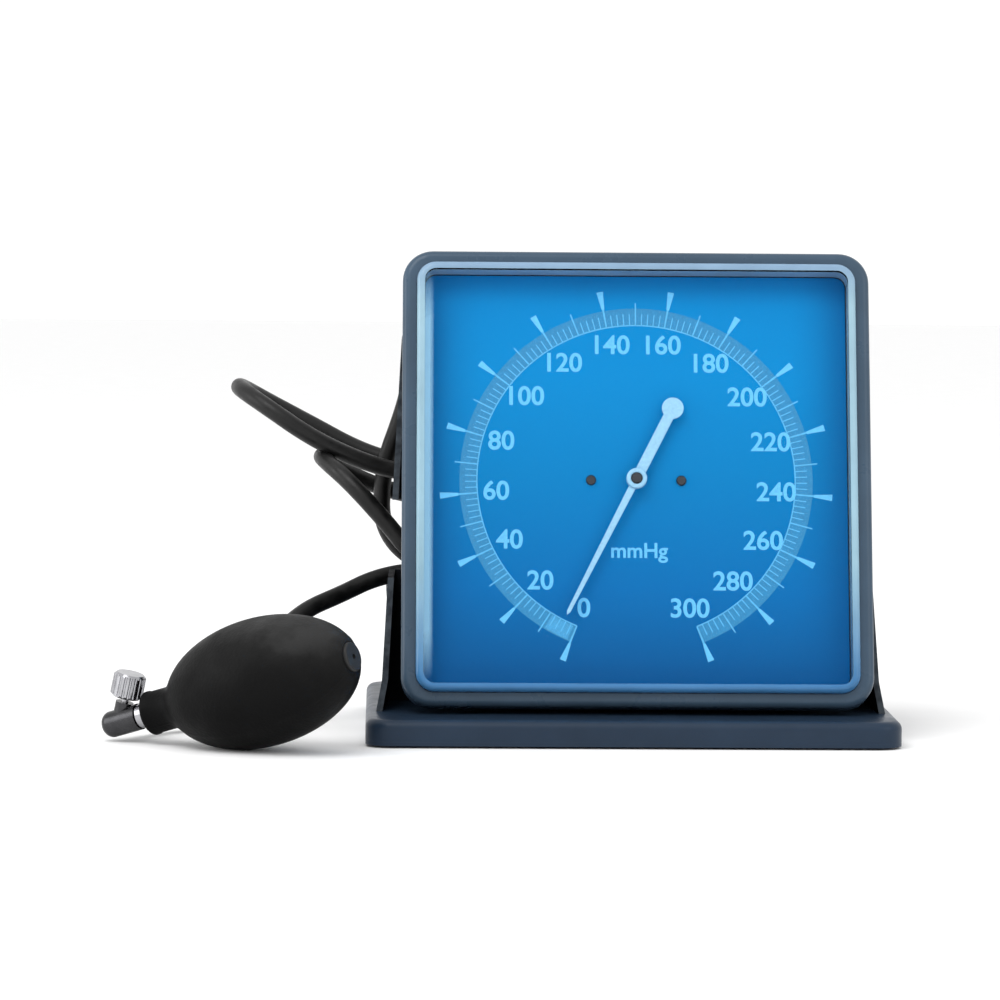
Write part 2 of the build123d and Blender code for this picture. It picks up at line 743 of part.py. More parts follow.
# Housing: tapered rear shell with its front flange, tower boss and two movement bosses
with BuildPart() as housing:
    with BuildSketch(face.offset(-housing_back)):
        RectangleRounded(
            housing_width - 2 * housing_taper, housing_height - 2 * housing_taper, housing_corner
        )
    with BuildSketch(face.offset(-flange_back)):
        RectangleRounded(housing_width, housing_height, housing_corner)
    loft()
    fillet(housing.faces().sort_by(forward)[0].edges(), housing_wall)
    with BuildSketch(face.offset(-flange_back)):
        RectangleRounded(
            case_width - 2 * flange_inset, case_height - 2 * flange_inset, case_corner - flange_inset
        )
    extrude(amount=flange_thickness)
    with BuildSketch(face.offset(-tower_front)):
        with Locations((0, mount_above_middle)):
            RectangleRounded(mount_width, mount_height, housing_wall)
    extrude(amount=tower_gap + housing_wall)
    with BuildSketch(face.offset(-housing_back + housing_wall)):
        RectangleRounded(
            housing_width - 2 * housing_taper - 2 * housing_wall,
            housing_height - 2 * housing_taper - 2 * housing_wall,
            housing_corner - housing_wall,
        )
    with BuildSketch(face.offset(-flange_back)):
        RectangleRounded(
            housing_width - 2 * housing_wall,
            housing_height - 2 * housing_wall,
            housing_corner - housing_wall,
        )
    loft(mode=Mode.SUBTRACT)
    with BuildSketch(face.offset(-flange_back)):
        RectangleRounded(
            dial_width - 2 * dial_seat, dial_height - 2 * dial_seat, housing_corner - housing_wall
        )
    extrude(amount=flange_thickness, mode=Mode.SUBTRACT)
    with BuildSketch(face.offset(-housing_back + housing_wall)):
        with Locations(*boss_places):
            Circle(housing_boss / 2)
    extrude(amount=housing_back - housing_wall - back_plate_back)
    with BuildSketch(face.offset(-housing_back + housing_wall)):
        with Locations(*boss_places):
            Circle(pillar_screw_head / 2 + seat_gap)
    extrude(amount=housing_back - housing_wall - back_plate_back, mode=Mode.SUBTRACT)
    with BuildSketch(face.offset(-flange_back)):
        with Locations(*case_screw_places):
            Circle(case_screw_diameter / 2 + fit)
    extrude(amount=flange_thickness, mode=Mode.SUBTRACT)
    with BuildSketch(face.offset(-housing_back)):
        with Locations(capsule_place):
            Circle(stem_diameter / 2 + fit)
    extrude(amount=housing_wall, mode=Mode.SUBTRACT)
    with BuildSketch(face.offset(-tower_front)):
        with Locations(*mount_screw_places):
            Circle(screw_diameter / 2 + fit)
    extrude(amount=mount_screw_grip, mode=Mode.SUBTRACT)
finish(housing, "housing")

# Screws from behind the housing flange into the bezel
with BuildPart() as case_screws:
    with BuildSketch(face.offset(-flange_back - case_screw_head_height)):
        with Locations(*case_screw_places):
            Circle(case_screw_head / 2)
    extrude(amount=case_screw_head_height)
    with BuildSketch(face.offset(-flange_back)):
        with Locations(*case_screw_places):
            Circle(case_screw_diameter / 2)
    extrude(amount=flange_thickness + case_screw_grip)
finish(case_screws, "case_screws")

# Pointer: tapered blade, hub ring and a tail with a round counterweight
with BuildPart() as pointer:
    with BuildSketch(pointer_plane):
        with BuildLine():
            Polyline(
                (-pointer_hub_width / 2, 0),
                (-pointer_tip_width / 2, -pointer_reach + pointer_tip_width),
                (0, -pointer_reach),
                (pointer_tip_width / 2, -pointer_reach + pointer_tip_width),
                (pointer_hub_width / 2, 0),
                close=True,
            )
        make_face()
        Circle(pointer_hub_diameter / 2)
        with Locations((0, pointer_tail_reach / 2)):
            Rectangle(pointer_tail_width, pointer_tail_reach)
        with Locations((0, pointer_tail_reach)):
            Circle(pointer_disc_diameter / 2)
        Circle(bush_shank_diameter / 2 + fit, mode=Mode.SUBTRACT)
    extrude(amount=pointer_thickness)
finish(pointer, "pointer")

# Pointer bush: capped sleeve that grips the pointer on its staff
with BuildPart() as pointer_bush:
    with BuildSketch(face.offset(-pointer_back)):
        Circle(bush_shank_diameter / 2)
    extrude(amount=pointer_thickness)
    with BuildSketch(face.offset(-pointer_back + pointer_thickness)):
        Circle(bush_diameter / 2)
    extrude(amount=bush_height)
    chamfer(pointer_bush.edges().group_by(forward)[-1], bush_edge)
    with BuildSketch(face.offset(-pointer_back)):
        Circle(staff_diameter / 2 + fit)
    extrude(amount=pointer_thickness + bush_grip, mode=Mode.SUBTRACT)
finish(pointer_bush, "pointer_bush")


def tooth(root, pitch_radius, tip, angle):
    """Corners of one straight-sided gear tooth that points along the given angle."""
    half_root = tooth_share * gear_pitch / 2 * pitch_radius / root + tooth_root_extra
    half_tip = tooth_tip_share * gear_pitch / 2
    corners_of_tooth = [(root, -half_root), (tip, -half_tip), (tip, half_tip), (root, half_root)]
    turn = radians(angle)
    return [(x * cos(turn) - y * sin(turn), x * sin(turn) + y * cos(turn)) for x, y in corners_of_tooth]


# Pinion staff: the shaft that carries the pointer, with the pinion and hairspring collet on it
with BuildPart() as pinion_staff:
    with BuildSketch(face.offset(-staff_back)):
        Circle(staff_diameter / 2)
    extrude(amount=staff_back - pointer_back + pointer_thickness + bush_grip - seat_gap)
    with BuildSketch(face.offset(-gear_middle - pinion_width / 2)):
        Circle(pinion_root)
        for k in range(pinion_teeth):
            with BuildLine():
                Polyline(
                    *tooth(
                        pinion_root * root_bite,
                        pinion_radius,
                        pinion_tip,
                        pinion_turn + k * 360 / pinion_teeth,
                    ),
                    close=True,
                )
            make_face()
    extrude(amount=pinion_width)
    with BuildSketch(face.offset(-front_plate_back - hairspring_depth - hairspring_height)):
        Circle(collet_diameter / 2)
    extrude(amount=hairspring_height)
finish(pinion_staff, "pinion_staff")

# Sector gear: toothed segment on its staff, with the tail pin that the rocker pushes
with BuildPart() as sector_gear:
    with BuildSketch(sector_plane.offset(-gear_width / 2)):
        Circle(sector_root)
        Circle(sector_root - sector_rim, mode=Mode.SUBTRACT)
        with BuildLine():
            Polyline(
                (0, 0),
                (-2 * sector_root * tan(sector_half), 2 * sector_root),
                (2 * sector_root * tan(sector_half), 2 * sector_root),
                close=True,
            )
        make_face(mode=Mode.INTERSECT)
        with Locations((0, (sector_root - sector_rim / 2) / 2)):
            Rectangle(sector_arm_width, sector_root - sector_rim / 2)
        Circle(sector_boss_diameter / 2)
        with Locations((tail_radius / 2, 0)):
            Rectangle(tail_radius, 2 * tail_pin_diameter)
        with Locations((tail_radius, 0)):
            Circle(tail_pin_diameter)
        for k in range(sector_teeth):
            with BuildLine():
                Polyline(
                    *tooth(sector_root * root_hold, sector_radius, sector_tip,
                           90 + (k - (sector_teeth - 1) / 2) * sector_step),
                    close=True,
                )
            make_face()
    extrude(amount=gear_width)
    with BuildSketch(sector_plane.offset(-gear_width / 2 - tail_pin_length)):
        with Locations((tail_radius, 0)):
            Circle(tail_pin_diameter / 2)
    extrude(amount=tail_pin_length)
    with BuildSketch(face.offset(-staff_back)):
        with Locations((0, sector_v)):
            Circle(staff_diameter / 2)
    extrude(amount=staff_back - staff_front)
finish(sector_gear, "sector_gear")

# Rocker: shaft across the movement, a finger against the tail pin and an arm over the capsule stud
with BuildPart() as rocker:
    with BuildSketch(rocker_plane.offset(rocker_start)):
        Circle(rocker_shaft_diameter / 2)
    extrude(amount=rocker_length)
    with BuildSketch(rocker_plane.offset(rocker_start)):
        with Locations((rocker_finger / 2, 0)):
            Rectangle(rocker_finger, rocker_thickness)
    extrude(amount=rocker_finger_width)
    with BuildSketch(rocker_plane.offset(stud_u - rocker_finger_width / 2)):
        with Locations((0, (rocker_arm + stud_pin_diameter) / 2)):
            Rectangle(rocker_thickness, rocker_arm + stud_pin_diameter)
    extrude(amount=rocker_finger_width)
finish(rocker, "rocker")

# Front movement plate, with the post that holds the outer end of the hairspring
with BuildPart() as front_plate:
    with BuildSketch(face.offset(-front_plate_back)):
        with Locations((0, (plate_top - plate_bottom) / 2)):
            RectangleRounded(plate_width, plate_top + plate_bottom, plate_corner)
        with Locations(*pillar_places):
            Circle(pillar_screw_diameter / 2 + fit, mode=Mode.SUBTRACT)
        with Locations((0, 0), (0, sector_v)):
            Circle(staff_diameter / 2 + fit, mode=Mode.SUBTRACT)
        with Locations((-dial_screw_spread / 2, 0), (dial_screw_spread / 2, 0)):
            Circle(dial_screw_diameter / 2 + fit, mode=Mode.SUBTRACT)
    extrude(amount=plate_thickness)
    with BuildSketch(face.offset(-front_plate_back - hairspring_depth - hairspring_height)):
        with Locations((0, hairspring_outer + hairspring_post / 2 + hairspring_strip)):
            Circle(hairspring_post / 2)
    extrude(amount=hairspring_depth + hairspring_height)
finish(front_plate, "front_plate")

# Back movement plate, with two lugs that carry the rocker shaft
with BuildPart() as back_plate:
    with BuildSketch(face.offset(-back_plate_back)):
        with Locations((0, (plate_top - plate_bottom) / 2)):
            RectangleRounded(plate_width, plate_top + plate_bottom, plate_corner)
        with Locations(*pillar_places):
            Circle(pillar_screw_diameter / 2 + fit, mode=Mode.SUBTRACT)
        with Locations((0, 0), (0, sector_v)):
            Circle(staff_diameter / 2 + fit, mode=Mode.SUBTRACT)
        with Locations((stud_u, stud_v)):
            Circle(stud_diameter / 2 + seat_gap, mode=Mode.SUBTRACT)
    extrude(amount=plate_thickness)
    with BuildSketch(face.offset(-back_plate_back)):
        with Locations((lug_near, rocker_v), (lug_far, rocker_v)):
            Rectangle(lug_thickness, lug_width)
    extrude(amount=back_plate_back - rocker_depth_back + rocker_shaft_diameter)
    with BuildSketch(rocker_plane):
        Circle(rocker_shaft_diameter / 2 + fit)
    extrude(amount=plate_width / 2, mode=Mode.SUBTRACT)
finish(back_plate, "back_plate")

# Four pillars between the plates
with BuildPart() as pillars:
    with BuildSketch(face.offset(-back_plate_front)):
        with Locations(*pillar_places):
            Circle(pillar_diameter / 2)
            Circle(pillar_screw_diameter / 2 + fit, mode=Mode.SUBTRACT)
    extrude(amount=plate_spacing)
finish(pillars, "pillars")

# Long screws through the back plate and the pillars into the front plate
with BuildPart() as pillar_screws:
    with BuildSketch(face.offset(-back_plate_back - pillar_screw_head_height)):
        with Locations(*pillar_places):
            Circle(pillar_screw_head / 2)
    extrude(amount=pillar_screw_head_height)
    with BuildSketch(face.offset(-back_plate_back)):
        with Locations(*pillar_places):
            Circle(pillar_screw_diameter / 2)
    extrude(amount=back_plate_back - front_plate_back + plate_thickness)
finish(pillar_screws, "pillar_screws")

# Hairspring: a flat spiral of half circles, each wider than the last
with BuildPart() as hairspring:
    with BuildSketch(face.offset(-front_plate_back - hairspring_depth - hairspring_height)):
        with BuildLine() as coil:
            for k in range(2 * hairspring_turns):
                side = 1 if k % 2 == 0 else -1
                radius = hairspring_inner + (k + 0.5) * hairspring_pitch / 2
                CenterArc((0, side * hairspring_pitch / 4), radius, side * 90, 180)
        trace(line_width=hairspring_strip)
    extrude(amount=hairspring_height)
finish(hairspring, "hairspring")


def corrugated(side):
    """Crest points of one capsule half; side is 1 towards the dial and -1 towards the back."""
    inner = capsule_boss / 2
    outer = capsule_diameter / 2 - capsule_rim
    steps = 2 * capsule_waves
    crest = []
    for k in range(steps + 1):
        share = k / steps
        wave = capsule_wave_height / 2 * (-1) ** (k + 1) if 0 < k < steps else 0
        height = capsule_sheet + (capsule_half_height - capsule_sheet) * share + wave
        crest.append((outer + (inner - outer) * share, side * height))
    return crest


# Pressure capsule: a front half that bulges with pressure and a fixed back half with the inlet hole
for side, half_name in ((1, "capsule_front"), (-1, "capsule_back")):
    crest = corrugated(side)
    trough = [(x, y - side * capsule_sheet) for x, y in crest]
    with BuildPart() as capsule_half:
        with BuildSketch(capsule_plane):
            with BuildLine():
                Polyline((capsule_diameter / 2, 0), (capsule_diameter / 2, side * capsule_sheet), crest[0])
                Spline(*crest)
                Polyline(
                    crest[-1],
                    (0, side * capsule_half_height),
                    (0, side * (capsule_half_height - capsule_sheet)),
                    trough[-1],
                )
                Spline(*reversed(trough))
                Line(trough[0], (capsule_diameter / 2, 0))
            make_face()
        revolve(axis=capsule_axis)
        if side < 0:
            with BuildSketch(face.offset(-capsule_depth_back)):
                with Locations(capsule_place):
                    Circle(stem_bore / 2)
            extrude(amount=capsule_half_height, mode=Mode.SUBTRACT)
    finish(capsule_half, half_name)

# Capsule stud: boss on the front half with the pin that lifts the rocker arm
with BuildPart() as capsule_stud:
    with BuildSketch(face.offset(-stud_back)):
        with Locations(capsule_place):
            Circle(stud_diameter / 2)
    extrude(amount=stud_height)
    with BuildSketch(face.offset(-stud_back)):
        with Locations(capsule_place):
            Circle(stud_pin_diameter / 2)
    extrude(amount=stud_back - stud_tip)
finish(capsule_stud, "capsule_stud")

# Inlet stem: carries the capsule, passes the housing and turns into a hose barb
with BuildPart() as inlet_stem:
    with BuildSketch(face.offset(-housing_back + housing_wall)):
        with Locations(capsule_place):
            Circle(stem_nut_across / 2)
    extrude(amount=stem_flange)
    with BuildSketch(face.offset(-housing_back + housing_wall)):
        with Locations(capsule_place):
            Circle(capsule_boss / 2)
    extrude(amount=housing_back - housing_wall - capsule_depth_back)
    with BuildSketch(face.offset(-elbow_back)):
        with Locations(capsule_place):
            Circle(stem_diameter / 2)
    extrude(amount=elbow_back - housing_back + housing_wall)
    with BuildSketch(elbow_plane):
        Circle(hose_diameter / 2)
    extrude(amount=elbow_shoulder)
    with BuildSketch(elbow_plane):
        Circle(hose_bore / 2 - fit)
    extrude(amount=elbow_shoulder + barb_length)
    with BuildSketch(elbow_plane):
        Circle(barb_bore / 2)
    extrude(amount=elbow_shoulder + barb_length, mode=Mode.SUBTRACT)
    with BuildSketch(face.offset(-elbow_middle)):
        with Locations(capsule_place):
            Circle(barb_bore / 2)
    extrude(amount=elbow_middle - capsule_depth_back, mode=Mode.SUBTRACT)
finish(inlet_stem, "inlet_stem")

# Nut that clamps the stem against the housing
with BuildPart() as stem_nut:
    with BuildSketch(face.offset(-housing_back - stem_nut_height)):
        with Locations(capsule_place):
            RegularPolygon(stem_nut_across / 2, 6, major_radius=False)
            Circle(stem_diameter / 2 + fit, mode=Mode.SUBTRACT)
    extrude(amount=stem_nut_height)
finish(stem_nut, "stem_nut")

# Bulb: hollow rubber ellipse with a hole at its free end and a neck at its valve end
with BuildPart() as bulb:
    with BuildSketch(bulb_plane):
        with BuildLine():
            skin = EllipticalCenterArc(
                (0, 0), bulb_half, bulb_radius,
                start_angle=shoulder_angle, arc_size=end_angle - shoulder_angle,
            )
            cavity = EllipticalCenterArc(
                (0, 0), inner_half, inner_radius,
                start_angle=inner_neck_angle, arc_size=inner_hole_angle - inner_neck_angle,
            )
            Polyline(skin @ 1, (bulb_end, inlet_diameter / 2), cavity @ 1)
            Polyline(
                cavity @ 0,
                (neck_end, neck_bore / 2),
                (neck_end, neck_diameter / 2),
                (neck_start, neck_diameter / 2),
            )
            Spline((neck_start, neck_diameter / 2), skin @ 0, tangents=[(-1, 0), skin % 0])
        make_face()
    revolve(axis=bulb_axis)
finish(bulb, "bulb")

# Collar: plated ring between the bulb neck and the valve body
with BuildPart() as valve_collar:
    with BuildSketch(across.offset(neck_end)):
        Circle(collar_diameter / 2)
        Circle(valve_neck_diameter / 2 + fit, mode=Mode.SUBTRACT)
    extrude(amount=collar_length)
    fillet(valve_collar.edges().filter_by(GeomType.CIRCLE).group_by(SortBy.RADIUS)[-1], collar_edge)
finish(valve_collar, "valve_collar")

# Valve body: spigot in the bulb neck, round-ended barrel, angled screw branch and hose port
with BuildPart() as valve_body:
    with BuildSketch(across.offset(neck_end - spigot_length)):
        Circle(neck_bore / 2 - fit)
    extrude(amount=spigot_length)
    with BuildSketch(across.offset(neck_end)):
        Circle(valve_neck_diameter / 2)
    extrude(amount=collar_length)
    with BuildSketch(across.offset(neck_end + collar_length)):
        Circle(valve_diameter / 2)
    extrude(amount=valve_length)
    fillet(valve_body.edges().group_by(Axis(bulb_plane.origin, bulb_plane.x_dir))[-1], valve_nose)
    with BuildSketch(branch_plane):
        Circle(branch_diameter / 2)
    extrude(amount=branch_reach)
    with BuildSketch(port_plane):
        Circle(hose_diameter / 2)
    extrude(amount=port_shoulder)
    with BuildSketch(port_plane):
        Circle(hose_bore / 2 - fit)
    extrude(amount=port_shoulder + barb_length)
    with BuildSketch(port_plane):
        Circle(barb_bore / 2)
    extrude(amount=port_shoulder + barb_length, mode=Mode.SUBTRACT)
    with BuildSketch(across.offset(neck_end - spigot_length)):
        Circle(valve_bore / 2)
    extrude(amount=spigot_length + collar_length + branch_distance, mode=Mode.SUBTRACT)
    with BuildSketch(branch_plane):
        Circle(needle_diameter / 2 + fit)
    extrude(amount=branch_reach, mode=Mode.SUBTRACT)
finish(valve_body, "valve_body")

# Release needle: slides in the branch as the knob is turned
with BuildPart() as release_needle:
    with BuildSketch(branch_plane.offset(needle_start)):
        Circle(needle_diameter / 2)
    extrude(amount=knob_start + needle_grip - needle_start)
    chamfer(release_needle.edges().group_by(branch_axis)[0], needle_point)
finish(release_needle, "release_needle")

# Knurled release knob
with BuildPart() as release_knob:
    with BuildSketch(branch_plane.offset(knob_start)):
        Circle(knob_diameter / 2)
    extrude(amount=knob_height)
    chamfer(release_knob.edges().group_by(branch_axis)[-1], knob_rib)
    chamfer(release_knob.edges().group_by(branch_axis)[0], knob_rib)
    with BuildSketch(branch_plane.offset(knob_start)):
        with PolarLocations(knob_diameter / 2, knob_ribs):
            Circle(knob_rib / 2)
    extrude(amount=knob_height, mode=Mode.SUBTRACT)
    with BuildSketch(branch_plane.offset(knob_start)):
        Circle(needle_diameter / 2 + fit)
    extrude(amount=needle_grip + seat_gap, mode=Mode.SUBTRACT)
finish(release_knob, "release_knob")

# Inlet valve at the free end of the bulb: seat, loose disc and retaining ring
with BuildPart() as inlet_seat:
    with BuildSketch(across.offset(bulb_end - inlet_rim)):
        Circle(inlet_rim_diameter / 2)
    extrude(amount=inlet_rim)
    fillet(inlet_seat.edges().group_by(bulb_axis)[0], inlet_edge)
    with BuildSketch(across.offset(bulb_end)):
        Circle(inlet_diameter / 2 - fit)
    extrude(amount=inlet_length)
    with BuildSketch(across.offset(bulb_end)):
        Circle(inlet_bore / 2)
    extrude(amount=inlet_length, mode=Mode.SUBTRACT)
    with BuildSketch(across.offset(bulb_end - inlet_rim)):
        Circle(inlet_port / 2)
    extrude(amount=inlet_rim, mode=Mode.SUBTRACT)
finish(inlet_seat, "inlet_seat")

with BuildPart() as inlet_disc:
    with BuildSketch(across.offset(bulb_end)):
        Circle(inlet_disc_diameter / 2)
    extrude(amount=inlet_disc_thickness)
finish(inlet_disc, "inlet_disc")

with BuildPart() as inlet_retainer:
    with BuildSketch(across.offset(bulb_end + inlet_disc_thickness + inlet_lift + seat_gap)):
        Circle(inlet_bore / 2 - fit)
        Circle(inlet_bore / 4, mode=Mode.SUBTRACT)
    extrude(amount=inlet_length - inlet_disc_thickness - inlet_lift - seat_gap)
finish(inlet_retainer, "inlet_retainer")

# Cuff: rolled sleeve standing in the basket, with the bladder inside it
with BuildPart() as cuff:
    with BuildSketch(cuff_plane):
        SlotOverall(cuff_roll_height, cuff_roll_depth, rotation=90)
    extrude(amount=cuff_width)
    with BuildSketch(cuff_plane):
        SlotOverall(cuff_roll_height - 2 * cuff_skin, cuff_roll_depth - 2 * cuff_skin, rotation=90)
        SlotOverall(
            cuff_roll_height - 2 * cuff_skin - 2 * bladder_space,
            cuff_roll_depth - 2 * cuff_skin - 2 * bladder_space,
            rotation=90,
            mode=Mode.SUBTRACT,
        )
    extrude(amount=bladder_width, mode=Mode.SUBTRACT)
finish(cuff, "cuff")

# Bladder: inflatable layer inside the rolled cuff
with BuildPart() as bladder:
    with BuildSketch(cuff_plane.offset(seat_gap)):
        SlotOverall(
            cuff_roll_height - 2 * cuff_skin - 2 * seat_gap, cuff_roll_depth - 2 * cuff_skin - 2 * seat_gap,
            rotation=90,
        )
        SlotOverall(
            cuff_roll_height - 2 * cuff_skin - 2 * bladder_space + 2 * seat_gap,
            cuff_roll_depth - 2 * cuff_skin - 2 * bladder_space + 2 * seat_gap,
            rotation=90,
            mode=Mode.SUBTRACT,
        )
    extrude(amount=bladder_width - 2 * seat_gap)
finish(bladder, "bladder")

# Cuff ports: barbed stubs side by side on the end of the roll
with BuildPart() as cuff_ports:
    for port in (bulb_port, gauge_port):
        with BuildSketch(port):
            Circle(hose_diameter / 2)
        extrude(amount=port_collar)
        with BuildSketch(port):
            Circle(hose_bore / 2 - fit)
        extrude(amount=port_collar + barb_length)
        with BuildSketch(port):
            Circle(barb_bore / 2)
        extrude(amount=port_collar + barb_length, mode=Mode.SUBTRACT)
finish(cuff_ports, "cuff_ports")


def bend_radii(points):
    """Radius at each corner of a hose route: a share of its shorter run over the tangent of half its turn."""
    runs = [Vector(b) - Vector(a) for a, b in zip(points, points[1:])]
    radii = []
    for before, after in zip(runs, runs[1:]):
        half_turn = radians(before.get_angle(after)) / 2
        radii.append(bend_share * min(before.length, after.length) / tan(half_turn))
    return radii


# Hoses: straight runs joined by arcs as large as the runs allow
for hose_name, route in (("bulb_hose", bulb_route), ("gauge_hose", gauge_route)):
    radii = bend_radii(route)
    with BuildPart() as hose:
        with BuildLine() as line:
            FilletPolyline(*route, radius=radii)
        path = line.wires()[0]
        with BuildSketch(Plane(origin=path @ 0, z_dir=path % 0)):
            Circle(hose_diameter / 2)
            Circle(hose_bore / 2, mode=Mode.SUBTRACT)
        sweep(path=path)
    finish(hose, hose_name)
    expected = pi * ((hose_diameter / 2) ** 2 - (hose_bore / 2) ** 2) * path.length
    print(hose_name, "length", round(path.length, 1), "volume", round(hose.part.volume), round(expected))
    print("  bend radii", [round(r, 1) for r in radii])
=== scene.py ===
"""Looks of the desk aneroid sphygmomanometer, built around its CAD frame.

Metres; X runs to the right seen from the front, Y to the back, Z up.
"""
import math

import bmesh
import bpy
from mathutils import Matrix, Vector


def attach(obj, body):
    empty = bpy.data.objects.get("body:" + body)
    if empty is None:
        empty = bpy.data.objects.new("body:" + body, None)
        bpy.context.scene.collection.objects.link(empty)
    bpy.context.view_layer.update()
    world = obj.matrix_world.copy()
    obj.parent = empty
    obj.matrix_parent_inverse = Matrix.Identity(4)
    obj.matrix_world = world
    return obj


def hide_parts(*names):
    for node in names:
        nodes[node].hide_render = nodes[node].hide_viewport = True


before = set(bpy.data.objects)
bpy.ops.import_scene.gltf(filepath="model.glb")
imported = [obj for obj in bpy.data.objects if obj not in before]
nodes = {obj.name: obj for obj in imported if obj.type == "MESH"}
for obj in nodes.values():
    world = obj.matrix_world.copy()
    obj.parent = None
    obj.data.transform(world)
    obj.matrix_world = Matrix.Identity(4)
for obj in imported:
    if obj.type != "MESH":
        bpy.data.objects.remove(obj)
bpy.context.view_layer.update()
scene = bpy.context.scene
scene.view_settings.view_transform = "Standard"

MM = 0.001

# Sizes shared with the part's source, in metres
LEAN = math.radians(15.0)
FACE_CENTRE = Vector((0.0, -0.03152, 0.09344))
FACE_UP = Vector((0.0, math.sin(LEAN), math.cos(LEAN)))
FACE_OUT = Vector((0.0, -math.cos(LEAN), math.sin(LEAN)))
DIAL_FRONT = -7.2 * MM
DIAL_HALF_WIDTH = 75.8 * MM
DIAL_HALF_HEIGHT = 75.2 * MM
LENS_HALF_WIDTH = 78.85 * MM
LENS_HALF_HEIGHT = 78.25 * MM
LENS_WALL = 2.7 * MM
LENS_CORNER = 7.0 * MM
TOWER_RIM = -12.0 * MM
HOSE_DIAMETER = 6.4 * MM
BULB_CENTRE = Vector((-0.132, -0.082, 0.02412))
BULB_YAW = math.radians(29.0)
BULB_RISE = math.radians(16.5)
BULB_HALF = 38.0 * MM
BULB_RADIUS = 22.5 * MM
NECK_RADIUS = 7.5 * MM
NECK_END = 47.5 * MM


def face_point(u, v, out=0.0):
    """The point u to the right and v up the leaning face, out of the rim plane."""
    return FACE_CENTRE + Vector((u, 0, 0)) + FACE_UP * v + FACE_OUT * out


def face_matrix(u, v, out):
    """Local X to the right, Y up the face and Z out of it."""
    turn = Matrix((Vector((1, 0, 0)), FACE_UP, FACE_OUT)).transposed()
    return Matrix.Translation(face_point(u, v, out)) @ turn.to_4x4()


# Camera at the photograph's viewing angle: far off, slightly left of the gauge and above it
CAMERA_DISTANCE = 1.75
CAMERA_LEFT = math.radians(3.0)
CAMERA_RISE = math.radians(3.2)
CAMERA_ROLL = math.radians(0.42)
PIXELS_PER_METRE = 2800.0
FACE_PIXEL = (637.0, 475.3)
PICTURE_SIZE = 1000.0
SENSOR_WIDTH = 36.0

away = Vector(
    (
        -math.sin(CAMERA_LEFT) * math.cos(CAMERA_RISE),
        -math.cos(CAMERA_LEFT) * math.cos(CAMERA_RISE),
        math.sin(CAMERA_RISE),
    )
)
camera_place = FACE_CENTRE + away * CAMERA_DISTANCE
right = (-away).cross(Vector((0, 0, 1))).normalized()
above = right.cross(-away)
target = (
    FACE_CENTRE
    - right * ((FACE_PIXEL[0] - PICTURE_SIZE / 2) / PIXELS_PER_METRE)
    + above * ((FACE_PIXEL[1] - PICTURE_SIZE / 2) / PIXELS_PER_METRE)
)
camera_data = bpy.data.cameras.new("camera")
camera_data.sensor_width = SENSOR_WIDTH
camera_data.lens = SENSOR_WIDTH * PIXELS_PER_METRE * CAMERA_DISTANCE / PICTURE_SIZE
camera = bpy.data.objects.new("camera", camera_data)
scene.collection.objects.link(camera)
camera.matrix_world = (
    Matrix.Translation(camera_place)
    @ (target - camera_place).to_track_quat("-Z", "Y").to_matrix().to_4x4()
    @ Matrix.Rotation(CAMERA_ROLL, 4, "Z")
)
scene.camera = camera


